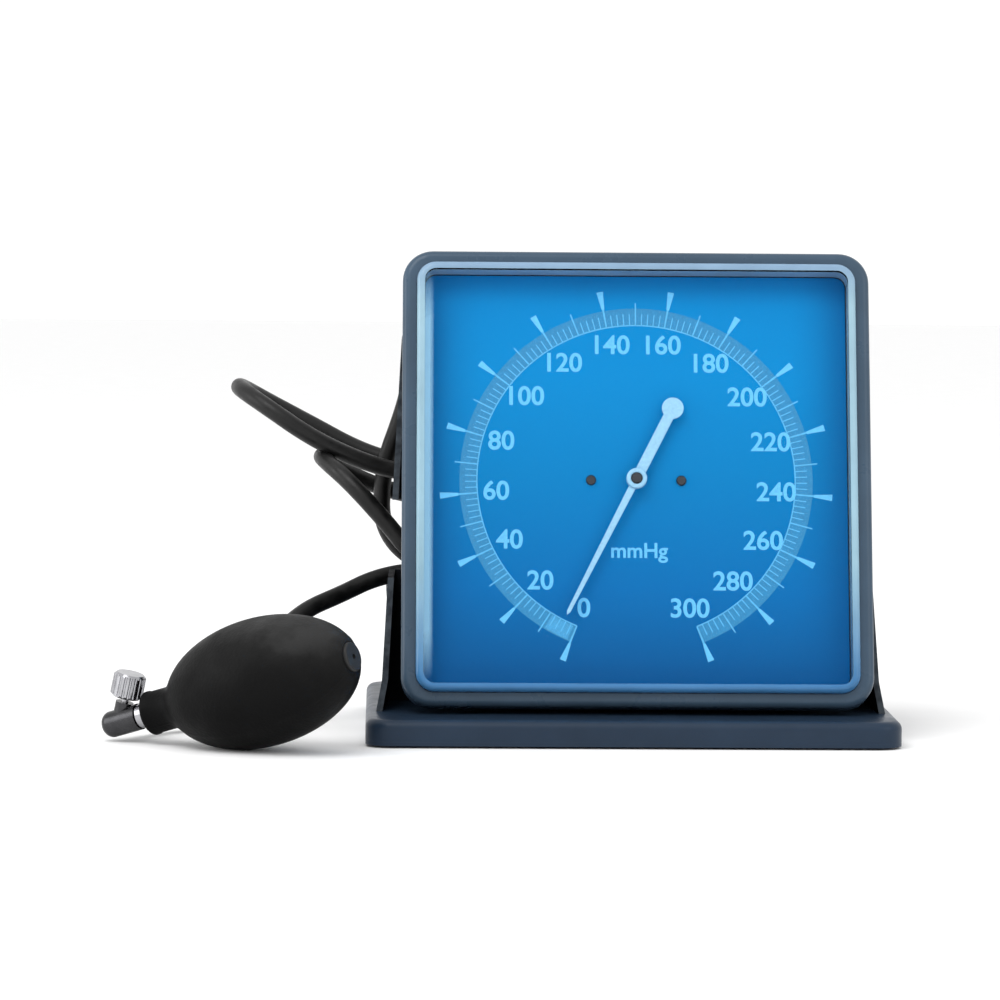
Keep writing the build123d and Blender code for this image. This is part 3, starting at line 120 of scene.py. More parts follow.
# Node helpers
class Shader:
    """A material's node tree with short calls for the nodes used here."""

    def __init__(self, name):
        self.material = bpy.data.materials.new(name)
        self.material.use_nodes = True
        self.tree = self.material.node_tree
        self.bsdf = self.tree.nodes["Principled BSDF"]
        self.output = self.tree.nodes["Material Output"]
        self.place = self.tree.nodes.new("ShaderNodeTexCoord").outputs["Object"]

    def node(self, kind, **settings):
        made = self.tree.nodes.new(kind)
        for key, value in settings.items():
            setattr(made, key, value)
        return made

    def link(self, source, target):
        self.tree.links.new(source, target)

    def set(self, **values):
        for key, value in values.items():
            self.bsdf.inputs[key.replace("_", " ")].default_value = value

    def noise(self, scale, detail=4.0, roughness=0.55, where=None):
        made = self.node("ShaderNodeTexNoise")
        made.inputs["Scale"].default_value = scale
        made.inputs["Detail"].default_value = detail
        made.inputs["Roughness"].default_value = roughness
        self.link(where or self.place, made.inputs["Vector"])
        return made.outputs["Fac"]

    def ramp(self, source, stops):
        made = self.node("ShaderNodeValToRGB")
        elements = made.color_ramp.elements
        while len(elements) < len(stops):
            elements.new(0.5)
        for element, (position, colour) in zip(elements, stops):
            element.position = position
            element.color = (*colour, 1.0)
        self.link(source, made.inputs["Fac"])
        return made.outputs["Color"]

    def spread(self, source, low, high, from_low=0.0, from_high=1.0):
        made = self.node("ShaderNodeMapRange")
        made.inputs["From Min"].default_value = from_low
        made.inputs["From Max"].default_value = from_high
        made.inputs["To Min"].default_value = low
        made.inputs["To Max"].default_value = high
        self.link(source, made.inputs["Value"])
        return made.outputs["Result"]

    def math(self, operation, first, second=None):
        made = self.node("ShaderNodeMath", operation=operation)
        for socket, value in zip(made.inputs, (first, second)):
            if value is None:
                continue
            if isinstance(value, (int, float)):
                socket.default_value = value
            else:
                self.link(value, socket)
        return made.outputs["Value"]

    def mix(self, factor, first, second):
        made = self.node("ShaderNodeMix", data_type="RGBA")
        self.link(factor, made.inputs["Factor"])
        for socket, value in zip((made.inputs[6], made.inputs[7]), (first, second)):
            if isinstance(value, tuple):
                socket.default_value = (*value, 1.0)
            else:
                self.link(value, socket)
        return made.outputs[2]

    def bump(self, height, distance, strength=1.0):
        made = self.node("ShaderNodeBump")
        made.inputs["Strength"].default_value = strength
        made.inputs["Distance"].default_value = distance
        self.link(height, made.inputs["Height"])
        return made.outputs["Normal"]

    def colour(self, source):
        self.link(source, self.bsdf.inputs["Base Color"])

    def rough(self, source):
        self.link(source, self.bsdf.inputs["Roughness"])

    def normal(self, source):
        self.link(source, self.bsdf.inputs["Normal"])

    def stretched(self, x, y, z):
        made = self.node("ShaderNodeMapping")
        made.inputs["Scale"].default_value = (x, y, z)
        self.link(self.place, made.inputs["Vector"])
        return made.outputs["Vector"]

    def axes(self):
        """Sockets for the X, Y and Z of the point that is shaded."""
        made = self.node("ShaderNodeSeparateXYZ")
        self.link(self.place, made.inputs["Vector"])
        return made.outputs

    def along_face(self, axes, direction):
        """Distance from the face centre along a direction square to X."""
        shares = []
        for name, centre, weight in (
            ("Y", FACE_CENTRE.y, direction.y),
            ("Z", FACE_CENTRE.z, direction.z),
        ):
            shares.append(self.math("MULTIPLY", self.math("SUBTRACT", axes[name], centre), weight))
        return self.math("ADD", *shares)


def tone(colour, factor):
    """The colour made lighter or darker."""
    return tuple(min(1.0, c * factor) for c in colour)


def moulded(name, colour, roughness=0.35, grain=0.00004, grain_scale=2600.0, cloud=0.12):
    """Moulded plastic or rubber: faint clouding, fine grain and small changes of gloss."""
    shader = Shader(name)
    tones = [(0.3, tone(colour, 1 - cloud)), (0.7, tone(colour, 1 + cloud))]
    shader.colour(shader.ramp(shader.noise(38.0, 5.0), tones))
    smudges = shader.noise(85.0, 6.0, 0.6)
    shader.rough(shader.spread(smudges, roughness * 0.85, roughness * 1.2, 0.35, 0.65))
    shader.normal(shader.bump(shader.noise(grain_scale, 2.0), grain))
    shader.set(Specular_IOR_Level=0.18)
    return shader


def metal(name, colour, roughness=0.25, scratch=0.00002, streaks=(60.0, 60.0, 900.0)):
    """Metal with fine drawn streaks and faint tarnish."""
    shader = Shader(name)
    shader.set(Metallic=1.0)
    tones = [(0.35, tone(colour, 0.82)), (0.65, tone(colour, 1.05))]
    shader.colour(shader.ramp(shader.noise(160.0, 4.0), tones))
    lines = shader.noise(8.0, 3.0, 0.5, shader.stretched(*streaks))
    shader.rough(shader.spread(lines, roughness * 0.7, roughness * 1.4, 0.3, 0.7))
    shader.normal(shader.bump(lines, scratch))
    return shader


# Colours, linear
SLATE = (0.038, 0.066, 0.100)
SLATE_BASE = (0.0136, 0.0265, 0.048)
SLATE_STAND = (0.014, 0.021, 0.032)
# Near black: painted shade for the deep shade inside the tower.
PAINTED_SHADE_STAND = (0.0035, 0.0045, 0.0065)
# Paler rim colour: a painted highlight on the tower's front edges.
RIM_PAINTED_HIGHLIGHT = (0.055, 0.066, 0.078)
# Dial blues by height: a painted highlight above the middle, painted shade low down and at the top
# edge.
DIAL_PAINTED_LIGHT_BLUES = [
    (0.03, (0.0050, 0.088, 0.255)),
    (0.22, (0.0045, 0.130, 0.360)),
    (0.50, (0.0042, 0.175, 0.420)),
    (0.74, (0.0045, 0.203, 0.480)),
    (0.92, (0.0045, 0.200, 0.480)),
    (0.985, (0.0055, 0.150, 0.400)),
]
# Darker blue: painted shade towards the dial's sides.
DIAL_PAINTED_SIDE_SHADE = (0.0050, 0.095, 0.270)
# Painted highlight on the lens wall seen end on, lighter high up than at the bottom.
LENS_WALL_PAINTED_HIGHLIGHTS = [
    (0.03, (0.06, 0.21, 0.44)),
    (0.30, (0.30, 0.49, 0.60)),
    (0.90, (0.32, 0.50, 0.60)),
    (0.99, (0.24, 0.37, 0.52)),
]
# Painted reflection in the strip beside the lens's left wall.
LENS_PAINTED_REFLECTION = (0.30, 0.56, 0.74)
LENS_TINT = (0.97, 0.99, 1.0)
BAND_BLUE = (0.010, 0.205, 0.420)
ZERO_BLUE = (0.040, 0.300, 0.560)
MARK_BLUE = (0.075, 0.38, 0.65)
NUMBER_BLUE = (0.10, 0.43, 0.72)
POINTER_WHITE = (0.27, 0.50, 0.68)
# Bulb rubber by height: painted light on the top, near black below.
BULB_PAINTED_TOP_LIGHT = [
    (0.0, (0.0014, 0.0014, 0.0015)),
    (0.45, (0.007, 0.007, 0.007)),
    (1.0, (0.026, 0.026, 0.026)),
]
HOSE_BLACKS = [(0.35, (0.002, 0.002, 0.002)), (0.72, (0.008, 0.008, 0.008))]
CUFF_NAVY = (0.010, 0.016, 0.045)
BINDING_NAVY = (0.008, 0.010, 0.016)
HOOK_BLACK = (0.012, 0.012, 0.014)
PAPER = (0.90, 0.90, 0.90)

# Materials of the stand and case
slate = moulded("slate_gloss", SLATE, roughness=0.30, grain=0.00002)
slate.set(Coat_Weight=0.12, Coat_Roughness=0.2)
base_slate = moulded("base_slate", SLATE_BASE, roughness=0.34, grain=0.00003)
stand_slate = moulded("slate_matt", SLATE_STAND, roughness=0.5)
pad_rubber = moulded("pad_rubber", (0.02, 0.02, 0.02), roughness=0.8, grain=0.00008)
gasket_rubber = moulded("gasket_rubber", (0.015, 0.015, 0.016), roughness=0.7)
valve_plastic = moulded("valve_plastic", (0.02, 0.02, 0.02), roughness=0.4)
valve_rubber = moulded("valve_rubber", (0.10, 0.04, 0.02), roughness=0.6)
bladder_rubber = moulded("bladder_rubber", (0.02, 0.02, 0.021), roughness=0.65)

# Metals
steel = metal("zinc_steel", (0.55, 0.55, 0.57), roughness=0.32)
dark_steel = metal("blackened_steel", (0.06, 0.06, 0.065), roughness=0.4)
spring_steel = metal("blued_steel", (0.18, 0.22, 0.34), roughness=0.25)
brass = metal("brass", (0.62, 0.42, 0.14), roughness=0.28)
bronze = metal("bronze_sheet", (0.50, 0.28, 0.12), roughness=0.3)
chrome = metal("chrome", (0.42, 0.42, 0.44), roughness=0.16, scratch=0.00001)
valve_grey = metal("dark_chrome", (0.055, 0.055, 0.058), roughness=0.24)


RIM_HIGHLIGHT_START = 0.9 * MM
RIM_HIGHLIGHT_FULL = 0.1 * MM


def tower_skin():
    """Near-black matt moulding, as painted shade for the tower's dark inside, with a painted
    highlight along its front rim.
    """
    shader = moulded("dark_slate_matt", PAINTED_SHADE_STAND, roughness=0.55)
    dark = shader.bsdf.inputs["Base Color"].links[0].from_socket
    outward = shader.along_face(shader.axes(), FACE_OUT)
    # Painted highlight on the front rim, broken up by noise.
    rim = shader.spread(outward, 0.0, 1.0, TOWER_RIM - RIM_HIGHLIGHT_START, TOWER_RIM - RIM_HIGHLIGHT_FULL)
    rim_highlight_breakup = shader.spread(shader.noise(220.0, 5.0, 0.6), 0.35, 1.0, 0.35, 0.6)
    shader.colour(shader.mix(shader.math("MULTIPLY", rim, rim_highlight_breakup), dark, RIM_PAINTED_HIGHLIGHT))
    shader.set(Specular_IOR_Level=0.05)
    return shader.material


# Heights over which the painted light on the bulb's top grows.
TOP_LIGHT_LOW = 12.0 * MM
TOP_LIGHT_HIGH = 46.0 * MM


def bulb_skin():
    """Moulded rubber with a fine pebble, and painted light: lighter in patches on its upper side,
    near black low down.
    """
    shader = Shader("bulb_rubber")
    top_light_share = shader.spread(shader.axes()["Z"], 0.0, 1.0, TOP_LIGHT_LOW, TOP_LIGHT_HIGH)
    top_light_patches = shader.spread(shader.noise(42.0, 6.0, 0.6), 0.45, 1.25, 0.35, 0.65)
    # Painted light on the upper side, in patches.
    painted_top_light = shader.math("MULTIPLY", shader.math("POWER", top_light_share, 2.0), top_light_patches)
    shader.colour(shader.ramp(painted_top_light, BULB_PAINTED_TOP_LIGHT))
    shader.rough(shader.spread(shader.noise(60.0, 5.0), 0.46, 0.66, 0.35, 0.65))
    pebble = shader.node("ShaderNodeTexVoronoi")
    pebble.inputs["Scale"].default_value = 900.0
    shader.link(shader.place, pebble.inputs["Vector"])
    shader.normal(shader.bump(pebble.outputs["Distance"], 0.00008, 0.8))
    shader.set(Specular_IOR_Level=0.08)
    return shader.material


def hose_skin():
    """Smooth extruded rubber with faint handling marks."""
    shader = Shader("hose_rubber")
    shader.colour(shader.ramp(shader.noise(120.0, 5.0, 0.6), HOSE_BLACKS))
    shader.rough(shader.spread(shader.noise(240.0, 3.0), 0.34, 0.52, 0.35, 0.65))
    shader.normal(shader.bump(shader.noise(1500.0, 2.0), 0.00003))
    shader.set(Specular_IOR_Level=0.30)
    return shader.material


SIDE_SHADE_START = 0.72
SIDE_SHADE_POWER = 1.6
SIDE_SHADE_STRENGTH = 0.75
PATCHINESS = 0.03


def dial_paint():
    """Printed blue face with painted light and shade: a painted highlight above its middle, painted
    shade low down, at its top edge and towards its sides.
    """
    shader = Shader("dial_blue")
    axes = shader.axes()
    height = shader.math("SUBTRACT", axes["Z"], FACE_CENTRE.z)
    half = DIAL_HALF_HEIGHT * math.cos(LEAN)
    clouds = shader.math("SUBTRACT", shader.noise(16.0, 3.0), 0.5)
    patchy = shader.math("MULTIPLY", clouds, PATCHINESS)
    share = shader.math("ADD", shader.spread(height, 0.0, 1.0, -half, half), patchy)
    # Painted light and shade by height up the dial.
    upright = shader.ramp(share, DIAL_PAINTED_LIGHT_BLUES)
    across = shader.math("ABSOLUTE", axes["X"])
    # Painted shade towards the left and right borders.
    side_shade_share = shader.spread(across, 0.0, 1.0, DIAL_HALF_WIDTH * SIDE_SHADE_START, DIAL_HALF_WIDTH)
    edge = shader.math("MULTIPLY", shader.math("POWER", side_shade_share, SIDE_SHADE_POWER), SIDE_SHADE_STRENGTH)
    shader.colour(shader.mix(edge, upright, DIAL_PAINTED_SIDE_SHADE))
    shader.rough(shader.spread(shader.noise(70.0), 0.45, 0.55, 0.35, 0.65))
    shader.normal(shader.bump(shader.noise(1800.0, 2.0), 0.00001))
    shader.set(Specular_IOR_Level=0.02)
    return shader.material


def printed(name, colour, painted_light=0.0):
    """Screen-printed ink with slightly uneven cover; given a glow strength, it also glows faintly
    as painted light.
    """
    shader = Shader(name)
    tones = [(0.3, tone(colour, 0.86)), (0.7, tone(colour, 1.05))]
    shader.colour(shader.ramp(shader.noise(900.0, 3.0), tones))
    shader.set(Roughness=0.5)
    if painted_light:
        shader.set(Emission_Color=(*colour, 1.0), Emission_Strength=painted_light)
    return shader.material


WALL_BLEND = 0.15 * MM
WALL_HIGHLIGHT_COVER = 0.86
REFLECTION_COVER = 0.42
REFLECTION_START = 1.7
REFLECTION_FADE = 0.6
REFLECTION_ENDS = (0.72, 0.95)
SHEET_GLOSS = 0.05
ACRYLIC_IOR = 1.45


def lens_wall_share(shader, across, upward):
    """1 on the lens wall seen end on, and 0 on the face inside its rounded corners."""
    squares = []
    for centred, half in ((across, LENS_HALF_WIDTH), (upward, LENS_HALF_HEIGHT)):
        past = shader.math("SUBTRACT", shader.math("ABSOLUTE", centred), half - LENS_CORNER)
        squares.append(shader.math("POWER", shader.math("MAXIMUM", past, 0.0), 2.0))
    from_corner = shader.math("SQRT", shader.math("ADD", *squares))
    inside = LENS_CORNER - LENS_WALL
    return shader.spread(from_corner, 0.0, 1.0, inside - WALL_BLEND, inside)


def lens_glow_share(shader, across, upward):
    """1 in the strip of the face beside the left wall, where a reflection is painted, fading to 0
    inwards and at its ends.
    """
    start = -LENS_HALF_WIDTH + REFLECTION_START * LENS_WALL
    inward = shader.spread(across, 1.0, 0.0, start, start + REFLECTION_FADE * LENS_WALL)
    fade = [share * LENS_HALF_HEIGHT for share in REFLECTION_ENDS]
    ends = shader.spread(shader.math("ABSOLUTE", upward), 1.0, 0.0, *fade)
    return shader.math("MULTIPLY", inward, ends)


def blend_shaders(shader, share, first, second):
    """Mixes two surfaces by a share of the second."""
    made = shader.node("ShaderNodeMixShader")
    shader.link(share, made.inputs["Fac"])
    shader.link(first, made.inputs[1])
    shader.link(second, made.inputs[2])
    return made.outputs["Shader"]


def lens_clear():
    """Clear acrylic: a see-through face, a painted highlight on its wall seen end on, lighter high
    up than low down, and a painted reflection at the left.
    """
    shader = Shader("lens_clear")
    axes = shader.axes()
    upward = shader.along_face(axes, FACE_UP)
    wall = lens_wall_share(shader, axes["X"], upward)
    # Noise breaks up the painted wall highlight.
    wall_highlight_breakup = shader.spread(shader.noise(45.0, 4.0), 0.82, 1.0, 0.3, 0.7)
    wall_highlight_cover = shader.math("MULTIPLY", shader.math("MULTIPLY", wall, wall_highlight_breakup), WALL_HIGHLIGHT_COVER)
    painted_light = lens_glow_share(shader, axes["X"], upward)
    cover = shader.math("MAXIMUM", wall_highlight_cover, shader.math("MULTIPLY", painted_light, REFLECTION_COVER))
    height = shader.spread(upward, 0.0, 1.0, -LENS_HALF_HEIGHT, LENS_HALF_HEIGHT)
    # The wall's painted highlight and the painted reflection at the left, as a pale diffuse colour.
    shader.colour(shader.mix(wall, LENS_PAINTED_REFLECTION, shader.ramp(height, LENS_WALL_PAINTED_HIGHLIGHTS)))
    shader.set(Roughness=0.12, Specular_IOR_Level=0.3)
    clear = shader.node("ShaderNodeBsdfTransparent")
    clear.inputs["Color"].default_value = (*LENS_TINT, 1.0)
    gloss = shader.node("ShaderNodeBsdfGlossy")
    gloss.inputs["Roughness"].default_value = 0.03
    fresnel = shader.node("ShaderNodeFresnel")
    fresnel.inputs["IOR"].default_value = ACRYLIC_IOR
    shine = shader.math("MULTIPLY", fresnel.outputs["Fac"], SHEET_GLOSS)
    sheet = blend_shaders(shader, shine, clear.outputs["BSDF"], gloss.outputs["BSDF"])
    lens = blend_shaders(shader, cover, sheet, shader.bsdf.outputs["BSDF"])
    shader.link(lens, shader.output.inputs["Surface"])
    return shader.material


def woven(name, colour, thread=0.0006, sheen=0.35):
    """Plain-woven nylon: two crossed sets of threads with uneven dye."""
    shader = Shader(name)
    sets = []
    for direction in ("X", "DIAGONAL"):
        threads = shader.node("ShaderNodeTexWave", wave_type="BANDS", wave_profile="SIN")
        threads.bands_direction = direction
        threads.inputs["Scale"].default_value = 0.3 / thread
        threads.inputs["Distortion"].default_value = 0.6
        threads.inputs["Detail"].default_value = 1.0
        shader.link(shader.place, threads.inputs["Vector"])
        sets.append(threads.outputs["Fac"])
    weave = shader.math("MAXIMUM", *sets)
    dye = shader.math("MULTIPLY", shader.noise(30.0, 5.0), 0.5)
    shade = shader.math("ADD", shader.math("MULTIPLY", weave, 0.5), dye)
    shader.colour(shader.ramp(shade, [(0.25, tone(colour, 0.6)), (0.8, tone(colour, 1.5))]))
    shader.set(Roughness=0.85, Sheen_Weight=sheen, Sheen_Roughness=0.5)
    shader.normal(shader.bump(weave, 0.00012, 0.8))
    return shader.material


bulb_material = bulb_skin()
hose_material = hose_skin()
cuff_material = woven("cuff_nylon", CUFF_NAVY)
binding_material = woven("cuff_binding", BINDING_NAVY, thread=0.0004)
hook_material = woven("cuff_hook_tape", HOOK_BLACK, thread=0.0011, sheen=0.1)


def new_object(name, mesh, material, smooth=True):
    """Links a mesh to the scene with one material and smooth faces."""
    made = bpy.data.objects.new(name, mesh)
    scene.collection.objects.link(made)
    mesh.materials.append(material)
    if smooth:
        mesh.shade_smooth()
    return made


def mesh_from(name, points, faces):
    """A mesh from its points and the loops of point numbers that bound its faces."""
    mesh = bpy.data.meshes.new(name)
    mesh.from_pydata([tuple(p) for p in points], [], faces)
    mesh.update()
    return mesh


# Hoses: the same route points as in the part's source
BULB_ROUTE = [
    (-0.0622, 0.028179, 0.0551),
    (-0.0772, 0.028179, 0.0551),
    (-0.093, 0.0265, 0.0525),
    (-0.106, 0.02, 0.0465),
    (-0.1195, 0.009, 0.0415),
    (-0.131, -0.0015, 0.031),
    (-0.14, -0.008, 0.017),
    (-0.1515, -0.0145, 0.006),
    (-0.164, -0.0215, 0.0045),
    (-0.173058, -0.035231, 0.006769),
    (-0.18033, -0.04835, 0.006769),
]
GAUGE_ROUTE = [
    (0.0035, 0.006721, 0.056878),
    (-0.0205, 0.006721, 0.056878),
    (-0.046, 0.0064, 0.056),
    (-0.066, 0.0068, 0.0575),
    (-0.08, 0.0082, 0.062),
    (-0.0895, 0.0105, 0.074),
    (-0.1033, 0.013, 0.0888),
    (-0.1132, 0.0256, 0.0965),
    (-0.1132, 0.0434, 0.0965),
    (-0.1033, 0.056, 0.0888),
    (-0.087, 0.0605, 0.082),
    (-0.072, 0.066, 0.0795),
    (-0.0598, 0.0714, 0.079),
    (-0.0412, 0.0718, 0.0789),
    (-0.028, 0.0597, 0.0819),
    (-0.028, 0.0424, 0.0861),
    (-0.0406, 0.0301, 0.0891),
    (-0.0588, 0.0302, 0.0895),
    (-0.074, 0.031, 0.0905),
    (-0.087, 0.031, 0.0915),
    (-0.1015, 0.0285, 0.0963),
    (-0.1175, 0.0265, 0.104),
    (-0.1335, 0.0265, 0.115),
    (-0.1442, 0.0391, 0.1216),
    (-0.1442, 0.0569, 0.1216),
    (-0.1335, 0.0695, 0.115),
    (-0.1172, 0.0695, 0.1065),
    (-0.101, 0.068, 0.0978),
    (-0.0855, 0.066, 0.0928),
    (-0.0695, 0.0635, 0.092),
    (-0.054, 0.061, 0.096),
    (-0.041, 0.058, 0.107),
    (-0.035, 0.055, 0.1227),
    (-0.035, 0.0525, 0.1413),
    (-0.0482, 0.0505, 0.1545),
    (-0.0668, 0.049, 0.1545),
    (-0.08, 0.0483, 0.1413),
    (-0.0808, 0.048, 0.1225),
    (-0.0845, 0.048, 0.1095),
    (-0.0893, 0.0483, 0.0965),
    (-0.0912, 0.0492, 0.0838),
    (-0.091, 0.051, 0.0712),
    (-0.0851, 0.053, 0.061),
    (-0.075, 0.0541, 0.0551),
    (-0.0622, 0.0541, 0.0551),
]


def hose(name, route):
    """One rubber tube along its route, as a smooth curve with a round section."""
    curve = bpy.data.curves.new(name, "CURVE")
    curve.dimensions = "3D"
    spline = curve.splines.new("NURBS")
    spline.points.add(len(route) - 1)
    for point, place in zip(spline.points, route):
        point.co = (*place, 1.0)
    spline.order_u = 3
    spline.use_endpoint_u = True
    curve.resolution_u = 12
    curve.bevel_depth = HOSE_DIAMETER / 2
    curve.bevel_resolution = 8
    curve.use_fill_caps = True
    curve.materials.append(hose_material)
    made = bpy.data.objects.new(name, curve)
    scene.collection.objects.link(made)
    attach(made, "instrument")
    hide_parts(name)
    made.name = name + "_rubber"


hose("bulb_hose", BULB_ROUTE)
hose("gauge_hose", GAUGE_ROUTE)

# CAD nodes that keep their shape get their materials
finishes = {
    "base_plate": base_slate.material,
    "bezel": slate.material,
    "housing": stand_slate.material,
    "cuff_basket": stand_slate.material,
    "tower": tower_skin(),
    "rest_pads": pad_rubber.material,
    "lens_gasket": gasket_rubber.material,
    "lens": lens_clear(),
    "dial_plate": dial_paint(),
    # The pointer's paint glows faintly: painted light.
    "pointer": printed("pointer_paint", POINTER_WHITE, 0.03),
    "pointer_bush": dark_steel.material,
    "dial_screws": dark_steel.material,
    "hairspring": spring_steel.material,
    "capsule_front": bronze.material,
    "capsule_back": bronze.material,
    "valve_collar": chrome.material,
    "release_knob": chrome.material,
    "valve_body": valve_grey.material,
    "inlet_seat": valve_plastic.material,
    "inlet_retainer": valve_plastic.material,
    "inlet_disc": valve_rubber.material,
    "bladder": bladder_rubber.material,
    "cuff_ports": hose_material,
}
for name in (
    "base_screws",
    "mount_screws",
    "case_screws",
    "pillar_screws",
    "pinion_staff",
    "release_needle",
):
    finishes[name] = steel.material
for name in (
    "sector_gear",
    "rocker",
    "front_plate",
    "back_plate",
    "pillars",
    "capsule_stud",
    "inlet_stem",
    "stem_nut",
):
    finishes[name] = brass.material
for name, material in finishes.items():
    for place in nodes[name].material_slots:
        place.material = material

# Dial printing: angles count clockwise from straight down, seen from the front
SCALE_END = 300
ZERO_ANGLE = 22.0
SCALE_SWEEP = 316.0
STEP_ANGLE = SCALE_SWEEP / SCALE_END
ZERO_ZONE_ANGLES = (23.2, 31.5)
BASELINE_RADIUS = 57.1 * MM
FINE_RADIUS = 61.4 * MM
TEN_RADIUS = 65.4 * MM
WEDGE_RADIUS = 64.0 * MM
MAIN_RADIUS = 70.6 * MM
NUMBER_RADIUS = 50.4 * MM
NUMBER_SIZE = 9.6 * MM
UNIT_SIZE = 7.6 * MM
UNIT_PLACE = (0.9 * MM, -25.8 * MM)
BAND_PAST_MARKS = 2.0 * MM
BASELINE_INSIDE = 0.2 * MM
BASELINE_OUTSIDE = 0.25 * MM
BASELINE_PIECES = 120
ZERO_ZONE_PIECES = 6
ZERO_ZONE_RADII = (57.6 * MM, 63.0 * MM)
FINE_WIDTH = 0.38 * MM
TEN_WIDTH = 0.5 * MM
WEDGE_WIDTHS = (0.5 * MM, 0.7 * MM)
MAIN_WIDTHS = (1.0 * MM, 2.4 * MM)
INK_THICKNESS = 0.05 * MM
LETTER_BOLDNESS = 0.02


def dial_place(angle, radius):
    """Right and up of the point on the dial at this clock angle, in degrees."""
    turn = math.radians(angle)
    return -math.sin(turn) * radius, -math.cos(turn) * radius


def printed_mesh(name, shapes, material, out):
    """Flat printed shapes, each a loop of right-and-up points, as one piece on the dial."""
    points, faces = [], []
    for shape in shapes:
        start = len(points)
        points += [face_point(u, v, out) for u, v in shape]
        faces.append(tuple(range(start, start + len(shape))))
    made = new_object(name, mesh_from(name, points, faces), material, smooth=False)
    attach(made, "instrument")


def radial_mark(angle, inner, outer, inner_width, outer_width):
    """Corners of one mark that points away from the dial centre."""
    turn = math.radians(angle)
    along = (-math.sin(turn), -math.cos(turn))
    aside = (along[1], -along[0])
    loop = []
    for radius, offset in (
        (inner, -inner_width / 2),
        (outer, -outer_width / 2),
        (outer, outer_width / 2),
        (inner, inner_width / 2),
    ):
        loop.append(tuple(a * radius + b * offset for a, b in zip(along, aside)))
    return loop


def arc_band(inner, outer, first, last, pieces):
    """Quads of a ring between two clock angles."""
    quads = []
    for k in range(pieces):
        a = first + (last - first) * k / pieces
        b = first + (last - first) * (k + 1) / pieces
        corners = ((a, inner), (a, outer), (b, outer), (b, inner))
        quads.append([dial_place(*corner) for corner in corners])
    return quads


# The mark and number inks glow faintly: painted light.
mark_ink = printed("mark_ink", MARK_BLUE, 0.10)
number_ink = printed("number_ink", NUMBER_BLUE, 0.10)
main_ink = printed("main_mark_ink", NUMBER_BLUE, 0.14)
band_ink = printed("scale_band_ink", BAND_BLUE)
zero_ink = printed("zero_zone_ink", ZERO_BLUE)

last_angle = ZERO_ANGLE + SCALE_END * STEP_ANGLE
scale_arc = (ZERO_ANGLE, last_angle, BASELINE_PIECES)
band = arc_band(BASELINE_RADIUS, FINE_RADIUS + BAND_PAST_MARKS, *scale_arc)
printed_mesh("scale_band", band, band_ink, DIAL_FRONT + INK_THICKNESS)

baseline = (BASELINE_RADIUS - BASELINE_INSIDE, BASELINE_RADIUS + BASELINE_OUTSIDE)
fine_marks = arc_band(*baseline, *scale_arc)
main_marks = []
for reading in range(0, SCALE_END + 1, 2):
    angle = ZERO_ANGLE + reading * STEP_ANGLE
    if reading % 20 == 0:
        fine_marks.append(radial_mark(angle, BASELINE_RADIUS, WEDGE_RADIUS, *WEDGE_WIDTHS))
        main_marks.append(radial_mark(angle, WEDGE_RADIUS, MAIN_RADIUS, *MAIN_WIDTHS))
    elif reading % 10 == 0:
        fine_marks.append(radial_mark(angle, BASELINE_RADIUS, TEN_RADIUS, TEN_WIDTH, TEN_WIDTH))
    else:
        fine_marks.append(radial_mark(angle, BASELINE_RADIUS, FINE_RADIUS, FINE_WIDTH, FINE_WIDTH))
printed_mesh("scale_marks", fine_marks, mark_ink, DIAL_FRONT + 2 * INK_THICKNESS)
printed_mesh("main_marks", main_marks, main_ink, DIAL_FRONT + 2 * INK_THICKNESS)

zero_zone = arc_band(*ZERO_ZONE_RADII, *ZERO_ZONE_ANGLES, ZERO_ZONE_PIECES)
printed_mesh("zero_zone", zero_zone, zero_ink, DIAL_FRONT + 1.5 * INK_THICKNESS)


def lettering(name, text, u, v, size, material):
    """Upright printed text centred on a point of the dial."""
    curve = bpy.data.curves.new(name, "FONT")
    curve.body = text
    curve.size = size
    curve.align_x = "CENTER"
    curve.align_y = "CENTER"
    curve.extrude = INK_THICKNESS / 2
    curve.offset = size * LETTER_BOLDNESS
    curve.materials.append(material)
    made = bpy.data.objects.new(name, curve)
    scene.collection.objects.link(made)
    made.matrix_world = face_matrix(u, v, DIAL_FRONT + 2 * INK_THICKNESS)
    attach(made, "instrument")


for reading in range(0, SCALE_END + 1, 20):
    u, v = dial_place(ZERO_ANGLE + reading * STEP_ANGLE, NUMBER_RADIUS)
    lettering(f"number_{reading}", str(reading), u, v, NUMBER_SIZE, number_ink)
lettering("unit", "mmHg", *UNIT_PLACE, UNIT_SIZE, number_ink)

# Pointer hub ring, painted like the pointer, with the same faint painted glow
HUB_OUT = -3.2 * MM
HUB_RING_RADII = (2.05 * MM, 3.7 * MM)
HUB_RING_BELOW = 0.2 * MM
HUB_RING_ABOVE = 0.9 * MM
HUB_RING_BEVEL = 0.18


def ring(name, inner, outer, low, high, material, segments=64):
    """A turned ring on the dial's axis, with bevelled front edges."""
    edge = (outer - inner) * HUB_RING_BEVEL
    profile = [
        (outer, low),
        (outer, high - edge),
        (outer - edge, high),
        (inner + edge, high),
        (inner, high - edge),
        (inner, low),
    ]
    points, faces = [], []
    for k in range(segments):
        turn = 2 * math.pi * k / segments
        points += [face_point(r * math.cos(turn), r * math.sin(turn), z) for r, z in profile]
    count = len(profile)
    for k in range(segments):
        after = (k + 1) % segments
        for j in range(count):
            step = (j + 1) % count
            faces.append((k * count + j, after * count + j, after * count + step, k * count + step))
    return new_object(name, mesh_from(name, points, faces), material)


